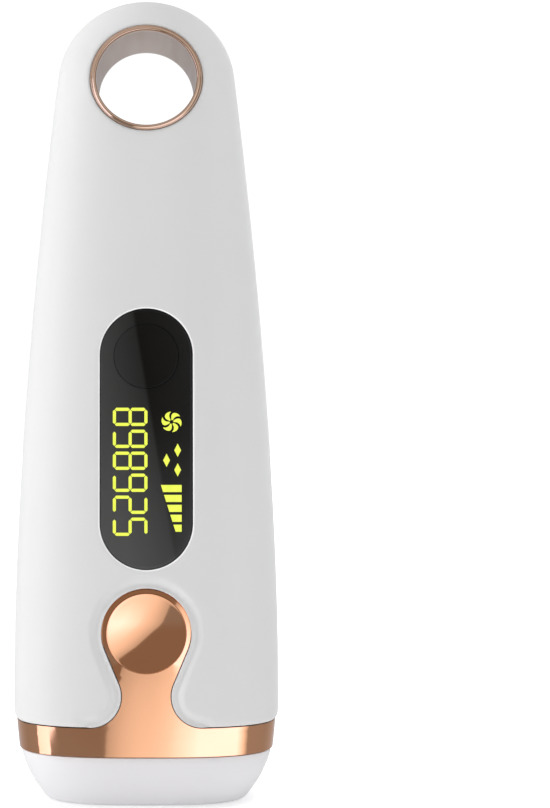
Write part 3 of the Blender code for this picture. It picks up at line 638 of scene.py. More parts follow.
def make_flash_button(material):
    """A dished key; the dish is one shallow curve right out to a small rounded edge."""
    rim, floor, depth = 20.7 * MM, 18.5 * MM, 1.05 * MM
    dish_edge = FLASH_RADIUS - 0.14 * MM
    steps = 18
    dish = [(dish_edge * i / steps, rim - depth * (1 - (i / steps) ** 2)) for i in range(steps + 1)]
    edge = [(FLASH_RADIUS - 0.07 * MM, rim), (FLASH_RADIUS - 0.02 * MM, rim - 0.06 * MM)]
    back = [(FLASH_RADIUS, rim - 0.16 * MM), (FLASH_RADIUS, floor), (10.9 * MM, floor)]
    back += in_mm((10.9, 17.5), (2.5, 17.5), (2.5, 15.4), (0, 15.4))
    obj = lathe("flash_button_key", dish + edge + back, (0, 0, BUTTON_Z), 128)
    return dress(smooth(obj), "flash_button", "rose_gold_button", material, replaces=["flash_button"])


def make_mode_button(material):
    """The glossy key in the display window; its face follows the body's curve."""
    bm = bmesh.new()
    steps, radii = 72, [MODE_RADIUS * i / 12 for i in range(1, 12)]
    rounding = [(0.15, 0.0), (0.05, 0.02), (0.0, 0.08), (0.0, 2.2)]
    levels = [(r, 0.0) for r in radii] + [(MODE_RADIUS - a * MM, d * MM) for a, d in rounding]
    levels = [level for level in levels if level[0] <= MODE_RADIUS]
    proud = -0.1 * MM
    flange = [(8.6 * MM, 16.4 * MM), (8.6 * MM, 15.4 * MM)]
    columns = []
    for i in range(steps):
        a = math.tau * i / steps
        column = []
        for radius, depth in levels:
            x, z = radius * math.cos(a), MODE_Z + radius * math.sin(a)
            y = -surface(x, z, proud) + depth
            column.append(bm.verts.new((x, y, z)))
        for radius, height in flange:
            column.append(bm.verts.new((radius * math.cos(a), -height, MODE_Z + radius * math.sin(a))))
        columns.append(column)
    for a, b in zip(columns, columns[1:] + columns[:1]):
        for k in range(len(a) - 1):
            bm.faces.new((a[k], b[k], b[k + 1], a[k + 1]))
    bmesh.ops.holes_fill(bm, edges=bm.edges, sides=0)
    bmesh.ops.recalc_face_normals(bm, faces=bm.faces)
    obj = smooth(mesh_piece("mode_button_key", bm))
    return dress(obj, "mode_button", "black_button", material, replaces=["mode_button"])


def make_ring_liner(rim_material, wall_material):
    """A through-tube with a rolled rim at each end that follows the body's surface."""
    # Share of the way out across the wall, and how far below the body's surface, in mm
    rim = [(1.0, 1.0), (1.0, 0.15), (0.97, -0.02), (0.9, -0.12), (0.82, -0.13), (0.76, -0.06), (0.7, -0.1),
           (0.58, -0.24), (0.42, -0.3), (0.26, -0.26), (0.13, -0.1), (0.04, 0.16), (0.0, 0.5), (0.0, 1.4)]
    bm = bmesh.new()
    columns, steps = [], 144
    for i in range(steps):
        a = math.tau * i / steps
        outer = Vector((LINER_OUTER[0] * math.cos(a), LINER_OUTER[1] * math.sin(a)))
        inner = Vector((LINER_INNER[0] * math.cos(a), LINER_INNER[1] * math.sin(a)))
        column = []
        for side, turns in ((-1, rim), (1, rim[::-1])):
            for share, sink in turns:
                at = inner.lerp(outer, share)
                y = side * (surface(at.x, LINER_Z + at.y) - sink * MM)
                column.append(bm.verts.new((at.x, y, LINER_Z + at.y)))
        columns.append(column)
    wall = len(rim) - 1
    for a, b in zip(columns, columns[1:] + columns[:1]):
        for k in range(len(a)):
            after = (k + 1) % len(a)
            face = bm.faces.new((a[k], b[k], b[after], a[after]))
            face.material_index = 1 if k == wall else 0
    bmesh.ops.recalc_face_normals(bm, faces=bm.faces)
    obj = smooth(mesh_piece("ring_liner_tube", bm), 60)
    return dress(obj, "housing", "rose_gold", rim_material, wall_material, replaces=["ring_liner"])


# The head's sections, as (height, half width, half depth) in mm, and how far its sides bow out between them
HEAD_SECTIONS = ((0.0, 23.8, 15.0), (5.0, 27.2, 17.6), (9.5, 29.2, 19.2), (12.1, 29.9, 19.8))
HEAD_BOW = 0.12


def head_section(z):
    """Half width and half depth of the head at height z."""
    t = z / MM
    heights, widths, depths = zip(*HEAD_SECTIONS)
    bow = HEAD_BOW * math.sin(math.pi * min(1, max(0, t / heights[-1])))
    return tuple((float(np.interp(t, heights, sizes)) + bow) * MM for sizes in (widths, depths))


def perimeter(steps=128, exponent=SECTION_EXPONENT):
    """Unit points right round a section, closer together at its corners."""
    power = 2 / exponent
    result = []
    for i in range(steps):
        a = math.tau * i / steps
        c, s = math.cos(a), math.sin(a)
        result.append((math.copysign(abs(c) ** power, c), math.copysign(abs(s) ** power, s)))
    return result


def make_head(material):
    top = BAND_BOTTOM / MM - GAP / MM
    # Inset from the section and height, both in mm, round the wall from its upper rim
    curve = [(0.9, top), (0.25, top - 0.02), (0.06, top - 0.12), (0.0, top - 0.35)]
    outside = [(0.0, z) for z in (10.6, 9.0, 7.4, 5.8, 4.2, 2.8, 1.7)]
    foot = [(0.02, 1.0), (0.12, 0.55), (0.36, 0.2), (0.75, 0.03), (1.1, 0.0), (1.6, 0.02)]
    inner = [(1.9, 0.12), (2.0, 0.4), (2.0, 4), (2.0, 8), (2.2, top - 0.6), (2.0, top)]
    rows = []
    for inset, z in in_mm(*curve, *outside, *foot, *inner):
        width, depth = head_section(z)
        rows.append([((width - inset) * a, (depth - inset) * b, z) for a, b in perimeter()])
    rows.append(rows[0])
    bm = bmesh.new()
    add_grid(bm, rows, closed=True)
    bmesh.ops.remove_doubles(bm, verts=bm.verts, dist=0.0005 * MM)
    bmesh.ops.recalc_face_normals(bm, faces=bm.faces)
    obj = smooth(mesh_piece("head_skin", bm), 50)
    return dress(obj, "housing", "white_head", material, replaces=["head_shell"])


def collar_drop(x, z):
    """The tongue falls away outwards round the flash key, but for the side where the neck joins."""
    if z < FILLET_Z:
        return 0.0
    radius = math.hypot(x, z - BUTTON_Z)
    from_neck = math.degrees(math.atan2(abs(x), BUTTON_Z - z))
    reach = max(0.0, min(radius, KEYHOLE_RADIUS + GAP) - FLASH_RADIUS)
    return COLLAR_SLOPE * reach * ease((from_neck - 40) / 5)


def band_size(z):
    """Half width and half depth of the band: a little less than the shells', narrowing towards the head.
    Its sides bow out very slightly, so that the triangulation meets no straight run of points there."""
    down = max(0.0, BAND_TOP - z) / (BAND_TOP - BAND_BOTTOM)
    taper = BAND_TAPER * down * (0.9 + 0.1 * down)
    return half_width(z) - TRIM_INSET - taper, half_depth(z) - TRIM_INSET


def section_depth(share):
    """The depth, as a share of the half depth, where the section is share of the half width out."""
    return (1 - share**SECTION_EXPONENT) ** (1 / SECTION_EXPONENT)


def trim_surface(x, z):
    width, depth = band_size(z)
    return depth * section_depth(min(1.0, abs(x) / width)) - collar_drop(x, z)


def make_trim(material):
    """The polished band and its keyhole tongue, in one piece."""
    rows = [BAND_BOTTOM + (BAND_TOP - BAND_BOTTOM) * i / 6 for i in range(7)]

    def right_edge(z):
        return (SPLIT * band_size(z)[0], z)

    outer = [right_edge(z) for z in rows]
    tongue = keyhole(0.0)
    outer += edge_row(outer[-1][0], tongue[0][0], BAND_TOP) + tongue
    left = [(-x, z) for x, z in (right_edge(z) for z in reversed(rows))]
    outer += edge_row(tongue[-1][0], left[0][0], BAND_TOP) + left
    outer += edge_row(left[-1][0], -left[-1][0], BAND_BOTTOM)
    hole = circle(0, BUTTON_Z, FLASH_RADIUS + KEY_GAP, 112)
    extra = rings(hole, fine(0.4))
    for z in rows[1:-1]:
        extra += edge_row(left[0][0], -left[0][0], z)
    flat, faces = sheet(outer, [hole(0.0)], extra, 1.1 * MM)
    bm = bmesh.new()
    add_sheet(bm, flat, faces, [-trim_surface(x, z) for x, z in flat])
    section = corner()
    flank = [(a, -d) for a, d in section] + [(a, d) for a, d in reversed(section[:-1])]
    back = [(SPLIT * (1 - 2 * i / 40)) for i in range(1, 40)]
    around = flank + [(a, section_depth(abs(a))) for a in back]
    around += [(-a, d) for a, d in reversed(flank)]
    grid = []
    for z in rows:
        width, depth = band_size(z)
        grid.append([(width * a, depth * d, z + joint_lift(depth * d, BAND_TOP - z)) for a, d in around])
    add_grid(bm, grid)
    obj = finish_sheet("trim_skin", bm, 1.1 * MM)
    smooth(apply_modifiers(obj), 50)
    normals = obj.modifiers.new("normals", "WEIGHTED_NORMAL")
    normals.keep_sharp = True
    return dress(apply_modifiers(obj), "housing", "rose_gold", material, replaces=["trim_band"])


def make_lens(material):
    outer = pill(0.0)
    hole = circle(0, MODE_Z, MODE_RADIUS + KEY_GAP, 72)
    extra = rings(lambda g: pill(-g), fine(0.12, 0.3, 0.6)) + rings(hole, fine(0.12, 0.3, 0.6))
    flat, faces = sheet(outer, [hole(0.0)], extra, 1.2 * MM)
    edge = to_line(flat, outer)
    drop = np.array([lip(d, WINDOW_LIP) for d in edge])
    drop = np.maximum(drop, [lip(d, KEY_HOLE_LIP) for d in to_line(flat, hole(0.0))])
    bm = bmesh.new()
    add_sheet(bm, flat, faces, on_body(flat, drop + LENS_INSET, -1))
    obj = finish_sheet("display_window", bm, 1.8 * MM)
    return dress(smooth(obj), "housing", "black_acrylic", material, replaces=["display_lens"])


# ---------------------------------------------------------------- the read-out


# How far below the body's surface the lit marks' faces and backs lie
INLAY = (LENS_INSET - 0.02 * MM, LENS_INSET + 0.05 * MM)


def prism(bm, outline):
    """A thin inlay on the display window with that outline."""
    top, low = INLAY
    front = [bm.verts.new((x, -surface(x, z, top), z)) for x, z in outline]
    back = [bm.verts.new((x, -surface(x, z, low), z)) for x, z in outline]
    bm.faces.new(front)
    bm.faces.new(back[::-1])
    for i in range(len(outline)):
        j = (i + 1) % len(outline)
        bm.faces.new((front[i], back[i], back[j], front[j]))


def bar(bm, left_top, left_bottom, right, top, bottom):
    """A gauge bar in short lengths, so that it follows the window's curve."""
    parts = 4
    rows = []
    for i in range(parts + 1):
        upper = left_top + (right - left_top) * i / parts
        lower = left_bottom + (right - left_bottom) * i / parts
        front, back = INLAY
        corners = ((upper, top, front), (lower, bottom, front), (lower, bottom, back), (upper, top, back))
        rows.append([(x, -surface(x, z, inset), z) for x, z, inset in corners])
    grid = add_grid(bm, rows, closed=True)
    bm.faces.new(grid[0][::-1])
    bm.faces.new(grid[-1])


# The lit segments of each figure, lettered as usual: a at the top, then clockwise to f, and g in the middle
DIGITS = {"2": "abged", "5": "afgcd", "6": "afgedc", "8": "abcdefg"}
DIGIT_TALL = 7.95 * MM
DIGIT_WIDE = 4.18 * MM
DIGIT_PITCH = 5.03 * MM
BAR = 0.72 * MM
READ_OUT = "526868"
COLUMN_MIDDLE = -3.7 * MM


def digit_segments(letters):
    """Six-sided bars of one seven-segment figure, upright about its middle, as (across, up) outlines."""
    w, h, half, gap = DIGIT_WIDE / 2 - BAR / 2, DIGIT_TALL / 2 - BAR / 2, BAR / 2, 0.09 * MM
    level = {"a": h, "g": 0.0, "d": -h}
    upright = {"f": (-w, 0, h), "b": (w, 0, h), "e": (-w, -h, 0), "c": (w, -h, 0)}
    for letter in letters:
        if letter in level:
            low, high, middle = -w + gap, w - gap, level[letter]
        else:
            middle, low, high = upright[letter]
            low, high = low + gap, high - gap
        hexagon = [(low, 0), (low + half, half), (high - half, half), (high, 0), (high - half, -half),
                   (low + half, -half)]
        if letter in level:
            yield [(along, middle + off) for along, off in hexagon]
        else:
            yield [(middle + off, along) for along, off in hexagon]


# The fan sign's middle, one blade's two edges as (radius in mm, degrees), and the diamonds' middles in mm
FAN_SIGN = (5.8 * MM, LENS_Z + 3.9 * MM)
BLADE_OUTER = ((0.45, -4), (1.0, -4), (1.5, -1), (1.9, 6), (2.15, 16), (2.3, 30), (2.35, 45), (2.33, 58))
BLADE_INNER = ((2.1, 51), (1.8, 44), (1.5, 39), (1.2, 35), (0.9, 34), (0.5, 36))
DIAMONDS = ((7.2, -2.6), (4.65, -4.9), (7.2, -7.1))


def make_read_out(material):
    """The figures stand on their side, reading up the handle, beside a fan sign, three diamonds and a level
    gauge."""
    bm = bmesh.new()
    lowest = LENS_Z - 20.1 * MM
    for i, figure in enumerate(READ_OUT):
        middle = lowest + i * DIGIT_PITCH
        for outline in digit_segments(DIGITS[figure]):
            prism(bm, [(COLUMN_MIDDLE - up, middle + across) for across, up in outline])
    blades = 6
    for i in range(blades):
        outline = []
        for r, degrees in BLADE_OUTER + BLADE_INNER:
            a = math.radians(degrees + 360 * i / blades)
            outline.append((FAN_SIGN[0] + r * MM * math.sin(a), FAN_SIGN[1] + r * MM * math.cos(a)))
        prism(bm, outline)
    half_x, half_z = 0.78, 1.52
    for x, z in DIAMONDS:
        tips = ((1, 0), (0, 1), (-1, 0), (0, -1))
        prism(bm, [((x + a * half_x) * MM, LENS_Z + (z + b * half_z) * MM) for a, b in tips])
    right, first, pitch, tall, lean = 8.1, -10.55, 2.27, 1.62, 0.315
    for i in range(5):
        top = first - i * pitch
        bottom = top - tall
        left_top, left_bottom = (3.35 + lean * (first - level) for level in (top, bottom))
        bar(bm, left_top * MM, left_bottom * MM, right * MM, LENS_Z + top * MM, LENS_Z + bottom * MM)
    bmesh.ops.remove_doubles(bm, verts=bm.verts, dist=0.001 * MM)
    bmesh.ops.recalc_face_normals(bm, faces=bm.faces)
    return dress(mesh_piece("read_out_marks", bm), "housing", "module_plastic", material)


# ---------------------------------------------------------------- window, inlet, screws and fan


def flat_outline(half_x, half_y, exponent, steps=96):
    return [(half_x * a, half_y * b) for a, b in perimeter(steps, exponent)]


def flat_plate(name, outer, holes, low, high, bevel):
    """A plate with holes, in x and y, between two heights, with softened edges."""
    flat, faces = triangulate([p for loop in [outer, *holes] for p in loop], outer, holes)
    bm = bmesh.new()
    bottom = [bm.verts.new((x, y, low)) for x, y in flat]
    for face in faces:
        bm.faces.new([bottom[i] for i in face])
    bmesh.ops.dissolve_limit(bm, angle_limit=0.01, verts=bm.verts, edges=bm.edges)
    top = bmesh.ops.extrude_face_region(bm, geom=bm.faces[:])
    moved = [v for v in top["geom"] if isinstance(v, bmesh.types.BMVert)]
    bmesh.ops.translate(bm, verts=moved, vec=(0, 0, high - low))
    bmesh.ops.recalc_face_normals(bm, faces=bm.faces)
    obj = mesh_piece(name, bm)
    rounding = obj.modifiers.new("edges", "BEVEL")
    rounding.width = bevel
    rounding.segments = 3
    rounding.limit_method = "ANGLE"
    rounding.angle_limit = math.radians(50)
    return obj


def make_window(metal, glass, contact):
    opening = flat_outline(17 * MM, 6.5 * MM, 7, 64)
    sensor_y = 9.2 * MM
    slots = [
        [(x, y + side * sensor_y) for x, y in flat_outline(10.3 * MM, 1.1 * MM, 6, 40)] for side in (-1, 1)
    ]
    outer = flat_outline(21.2 * MM, 12.2 * MM, SECTION_EXPONENT)
    bezel = flat_plate("window_plate", outer, [opening, *slots], 0.4 * MM, 2.4 * MM, 0.3 * MM)
    dress(smooth(bezel), "housing", "bezel_metal", metal, replaces=["window_bezel"])
    pane_outline = flat_outline(18.3 * MM, 7.8 * MM, 8, 64)
    pane = flat_plate("filter_pane", pane_outline, [], 2.7 * MM, 4.5 * MM, 0.15 * MM)
    dress(smooth(pane), "housing", "filter_glass", glass, replaces=["filter_glass"])
    for name, side in (("skin_sensor_front", -1), ("skin_sensor_rear", 1)):
        outline = [(x, y + side * sensor_y) for x, y in flat_outline(10 * MM, 0.8 * MM, 5, 40)]
        strip = flat_plate(f"{name}_strip", outline, [], 0.25 * MM, 2.3 * MM, 0.25 * MM)
        dress(smooth(strip), "housing", "sensor_steel", contact, replaces=[name])


def make_wells(material):
    """The sleeves inside the rear shell that the housing screws sit in."""
    for i, (x, z) in enumerate(HOUSING_SCREWS, 1):
        top = surface(x, z) - 1.6 * MM
        profile = [(WELL_RADIUS, top), (WELL_RADIUS, WELL_FLOOR), (1.7 * MM, WELL_FLOOR)]
        profile += in_mm((1.7, 4), (4.3, 4)) + [(4.3 * MM, top - 1.2 * MM), (WELL_RADIUS, top)]
        sleeve = lathe(f"screw_well_{i}", profile, (x, 0, z), 40, towards_front=False)
        dress(smooth(sleeve), "housing", "white_shell", material)


def make_screws(material):
    """Pan heads with a cross recess; the shank keeps its CAD size."""
    seat, reach, recess = 6.3, 13, 1.1
    top = seat + 1.9
    crown = in_mm((0, top), (1, top - 0.03), (1.8, top - 0.18), (2.4, top - 0.55), (2.75, top - 1.05),
                  (2.8, seat + 0.25), (2.7, seat), (1.2, seat))
    shank = in_mm((1.2, seat - reach + 1.2), (0.5, seat - reach), (0, seat - reach))
    for i, (x, z) in enumerate(HOUSING_SCREWS, 1):
        screw = lathe(f"housing_screw_{i}_head", crown + shank, (x, 0, z), 48, towards_front=False)
        bm = bmesh.new()
        for quarter in (0, 90):
            size = Matrix.Diagonal((2.9 * MM, 2 * recess * MM, 0.55 * MM, 1))
            turn = Matrix.Rotation(math.radians(quarter + 20 * i), 4, "Y")
            bmesh.ops.create_cube(bm, size=1, matrix=Matrix.Translation((x, top * MM, z)) @ turn @ size)
        cross = mesh_piece("cross", bm)
        cut_out(screw, cross).use_self = True
        apply_modifiers(screw)
        bpy.data.objects.remove(cross)
        dress(smooth(screw), "housing", "screw_steel", material, replaces=[f"housing_screw_{i}"])


def make_inlet(plastic, metal):
    """The barrel socket with a chamfered mouth, and its pin with a round tip."""
    face, back, floor, tip = 17.6, 8.8, 9.8, 16.6
    nose = in_mm((0, floor), (2.8, floor), (2.8, face - 0.5), (3.2, face - 0.05), (3.35, face), (3.75, face),
                 (3.95, face - 0.2), (4, face - 0.5), (4, 13.5), (4.5, 13.3), (4.5, back), (0, back))
    socket = lathe("power_socket", nose, (0, 0, JACK_Z), 64, towards_front=False)
    dress(smooth(socket), "housing", "jack_plastic", plastic, replaces=["dc_jack"])
    pin = in_mm((0, tip), (0.45, tip - 0.08), (0.85, tip - 0.4), (1, tip - 0.9), (1, 10.1), (0, 10.1))
    post = lathe("power_socket_pin", pin, (0, 0, JACK_Z), 32, towards_front=False)
    dress(smooth(post), "housing", "screw_steel", metal, replaces=["dc_jack_pin"])


def make_rotor(material):
    """A fan wheel with seven curved, twisted blades."""
    blades, spans, chords = 7, 7, 8
    front, back, hub, tip = 8.1 * MM, 15.6 * MM, 7.2 * MM, 15.4 * MM
    root, thick, chord = hub - 0.4 * MM, 0.35 * MM, 6.2 * MM
    wall, cap = 0.9 * MM, 1.2 * MM
    profile = [(0, back - cap), (hub - wall, back - cap), (hub - wall, front), (hub, front)]
    profile += [(hub, back - 0.8 * MM), (hub - 0.25 * MM, back - 0.25 * MM), (hub - 0.8 * MM, back)]
    profile.append((0, back))
    wheel = lathe("fan_wheel", profile, (0, 0, FAN_Z), 56, towards_front=False)
    bm = bmesh.new()
    bm.from_mesh(wheel.data)

    def blade_side(turn, offset):
        rows = []
        for i in range(spans + 1):
            radius = root + (tip - root) * i / spans
            row = []
            for j in range(chords + 1):
                t = j / chords - 0.5
                y = (front + back) / 2 + t * chord + cap * (0.25 - t * t)
                sweep = turn + 7.77 * t / (radius / MM) + 0.12 * (i / spans) ** 2
                a = sweep + offset / radius
                row.append(bm.verts.new((radius * math.sin(a), y, FAN_Z + radius * math.cos(a))))
            rows.append(row)
        return rows

    for b in range(blades):
        low, high = (blade_side(math.tau * b / blades, offset) for offset in (-thick, thick))
        for i in range(spans):
            for j in range(chords):
                bm.faces.new((low[i][j], low[i + 1][j], low[i + 1][j + 1], low[i][j + 1]))
                bm.faces.new((high[i][j], high[i][j + 1], high[i + 1][j + 1], high[i + 1][j]))
            bm.faces.new((low[i][0], high[i][0], high[i + 1][0], low[i + 1][0]))
            bm.faces.new((low[i][-1], low[i + 1][-1], high[i + 1][-1], high[i][-1]))
        for j in range(chords):
            bm.faces.new((low[0][j], low[0][j + 1], high[0][j + 1], high[0][j]))
            bm.faces.new((low[-1][j], high[-1][j], high[-1][j + 1], low[-1][j + 1]))
    bmesh.ops.recalc_face_normals(bm, faces=bm.faces)
    bm.to_mesh(wheel.data)
    bm.free()
    return dress(smooth(wheel), "fan_rotor", "fan_plastic", material, replaces=["fan_rotor"])


# ---------------------------------------------------------------- materials


def feed(tree, target, **inputs):
    """Sets a node's inputs by name, with _ for a space: an output is linked, anything else is the value."""
    for key, value in inputs.items():
        socket = target.inputs[key.replace("_", " ")]
        if isinstance(value, bpy.types.NodeSocket):
            tree.links.new(value, socket)
        else:
            socket.default_value = value


def node(tree, kind, **values):
    made = tree.nodes.new(kind)
    for key, value in values.items():
        if hasattr(made, key):
            setattr(made, key, value)
        else:
            feed(tree, made, **{key: value})
    return made


def new_material(name, stretch=(1, 1, 1)):
    """A material, its node tree, its shader and its coordinates, stretched."""
    material = bpy.data.materials.new(name)
    material.use_nodes = True
    tree = material.node_tree
    where = node(tree, "ShaderNodeTexCoord").outputs["Object"]
    mapping = node(tree, "ShaderNodeMapping", Scale=stretch, Vector=where)
    return material, tree, tree.nodes["Principled BSDF"], mapping.outputs["Vector"]


def noise(tree, vector, scale, detail=3):
    return node(tree, "ShaderNodeTexNoise", Scale=scale, Detail=detail, Vector=vector).outputs["Fac"]


def ramp(tree, factor, *stops):
    """A colour ramp; stops are (position, rgb)."""
    made = node(tree, "ShaderNodeValToRGB", Fac=factor)
    elements = made.color_ramp.elements
    while len(elements) < len(stops):
        elements.new(0.5)
    for element, (position, colour) in zip(elements, stops):
        element.position = position
        element.color = (*colour, 1.0)
    return made.outputs["Color"]


def scaled(colour, factor):
    return tuple(min(1.0, c * factor) for c in colour)


def varied(tree, factor, colour, vary, low=0.3, high=0.7):
    """The colour, darker and lighter by a share that follows the factor."""
    return ramp(tree, factor, (low, scaled(colour, 1 - vary)), (high, scaled(colour, 1 + vary)))


def spread_value(tree, factor, low, high):
    return node(tree, "ShaderNodeMapRange", To_Min=low, To_Max=high, Value=factor).outputs["Result"]


def bump(tree, height, strength, distance):
    made = node(tree, "ShaderNodeBump", Strength=strength, Distance=distance, Height=height)
    return made.outputs["Normal"]


def moulded(name, colour, roughness, grain=900, depth=0.02, vary=0.03, shine=0.5):
    """Moulded plastic: a fine skin texture, faint flow variation in colour and in gloss."""
    material, tree, shader, vector = new_material(name)
    broad = noise(tree, vector, 35, 2)
    feed(
        tree, shader,
        Base_Color=varied(tree, broad, colour, vary),
        Roughness=spread_value(tree, broad, roughness * 0.88, roughness * 1.12),
        Specular_IOR_Level=shine,
        Normal=bump(tree, noise(tree, vector, grain, 2), 0.25, depth * MM),
    )
    return material


def smoked(name, roughness, brightness):
    """Dark smoked acrylic whose colour carries a painted reflection of the studio light: lighter towards one
    side, with a slanted edge, and lighter towards its lower end. Only the dark tint is the acrylic's own
    colour."""
    material, tree, shader, vector = new_material(name)
    parts = node(tree, "ShaderNodeSeparateXYZ", Vector=vector).outputs
    slanted = node(tree, "ShaderNodeMath", operation="MULTIPLY_ADD")
    slanted.inputs[1].default_value = PAINTED_SHEEN_SLANT
    tree.links.new(parts["Z"], slanted.inputs[0])
    tree.links.new(parts["X"], slanted.inputs[2])
    edge = PAINTED_SHEEN_EDGE_Z * PAINTED_SHEEN_SLANT
    across = node(
        tree, "ShaderNodeMapRange", From_Min=edge - PAINTED_SHEEN_REACH, From_Max=edge + PAINTED_SHEEN_REACH,
        Value=slanted.outputs["Value"],
    )
    # Painted reflection: lighter greys left of the slanted edge, darker greys right of it
    painted_sheen = ramp(tree, across.outputs["Result"], *[(at, (grey * brightness,) * 3) for at, grey in PAINTED_SHEEN_GREYS])
    high, low = PAINTED_LOWER_SHEEN_FROM_TO
    lower = node(
        tree, "ShaderNodeMapRange", interpolation_type="SMOOTHSTEP", From_Min=high, From_Max=low,
        Value=parts["Z"],
    )
    # Painted reflection: the lower end is lifted to a lighter grey
    lift = ramp(tree, lower.outputs["Result"], (0.0, (0, 0, 0)), (1.0, (PAINTED_LOWER_SHEEN,) * 3))
    total = node(tree, "ShaderNodeMix", data_type="RGBA", blend_type="ADD", Factor=1.0, A=painted_sheen, B=lift)
    small = noise(tree, vector, 900, 2)
    feed(
        tree, shader,
        Base_Color=total.outputs["Result"],
        Roughness=spread_value(tree, small, roughness * 0.85, roughness * 1.15),
        Specular_IOR_Level=0.16,
        Normal=bump(tree, small, 0.1, 0.001 * MM),
    )
    return material


def metal(name, colour, roughness, grain=700, depth=0.006, vary=0.03, stretch=(1, 1, 1)):
    """Metal or metal plating with faint finishing marks along the stretch."""
    material, tree, shader, vector = new_material(name, stretch)
    marks = noise(tree, vector, grain)
    feed(
        tree, shader,
        Base_Color=varied(tree, noise(tree, vector, 40, 2), colour, vary),
        Metallic=1.0,
        Roughness=spread_value(tree, marks, roughness * 0.8, roughness * 1.2),
        Normal=bump(tree, marks, 0.15, depth * MM),
    )
    return material


def glowing(name, colour, strength):
    """Lit display segments, a little brighter in some patches."""
    material, tree, shader, vector = new_material(name)
    patches = noise(tree, vector, 500, 1)
    feed(
        tree, shader,
        Emission_Color=varied(tree, patches, colour, 0.1, 0.2, 0.8),
        Emission_Strength=strength,
        Base_Color=(*scaled(colour, 0.1), 1),
        Roughness=spread_value(tree, patches, 0.35, 0.5),
    )
    return material


def clear_glass(name, colour, roughness, waviness):
    material, tree, shader, vector = new_material(name)
    ripple = noise(tree, vector, waviness, 2)
    feed(
        tree, shader,
        Base_Color=varied(tree, ripple, colour, 0.03),
        Transmission_Weight=1.0,
        IOR=1.46,
        Roughness=spread_value(tree, ripple, roughness * 0.8, roughness * 1.4),
        Normal=bump(tree, ripple, 0.05, 0.01 * MM),
    )
    return material


def circuit_board(name):
    """Green solder mask over a net of copper tracks."""
    material, tree, shader, vector = new_material(name)
    cells = node(
        tree, "ShaderNodeTexVoronoi", distance="MANHATTAN", feature="DISTANCE_TO_EDGE", Scale=320,
        Vector=vector,
    )
    tracks = cells.outputs["Distance"]
    feed(
        tree, shader,
        Base_Color=ramp(tree, tracks, (0.03, (0.05, 0.27, 0.12)), (0.09, (0.02, 0.13, 0.06))),
        Roughness=spread_value(tree, noise(tree, vector, 300), 0.3, 0.45),
        Normal=bump(tree, tracks, 0.2, 0.03 * MM),
    )
    return material


def wound(name, colour, pitch_scale):
    """Turns of varnished wire, shown as fine ribs."""
    material, tree, shader, vector = new_material(name)
    ribs = node(
        tree, "ShaderNodeTexWave", wave_type="BANDS", bands_direction="Y", Scale=pitch_scale, Distortion=0.4,
        Vector=vector,
    )
    height = ribs.outputs["Fac"]
    feed(
        tree, shader,
        Base_Color=ramp(tree, height, (0.1, scaled(colour, 0.45)), (0.6, colour)),
        Metallic=0.7,
        Roughness=spread_value(tree, height, 0.5, 0.28),
        Normal=bump(tree, height, 0.6, 0.15 * MM),
    )
    return material


# The painted reflection in the display window's colour, a lighter sheen on its left: how its edge slants,
# where the edge crosses the middle plane, how far the greys reach each side of it, and the greys; then the
# painted lighter reflection towards its lower end
PAINTED_SHEEN_SLANT = 0.17
PAINTED_SHEEN_EDGE_Z = 97 * MM
PAINTED_SHEEN_REACH = 12 * MM
PAINTED_SHEEN_GREYS = ((0.05, 0.047), (0.3, 0.033), (0.48, 0.021), (0.515, 0.006), (0.75, 0.009), (0.95, 0.012))
PAINTED_LOWER_SHEEN = 0.026
PAINTED_LOWER_SHEEN_FROM_TO = (96 * MM, 54 * MM)

GOLD = (0.95, 0.50, 0.29)


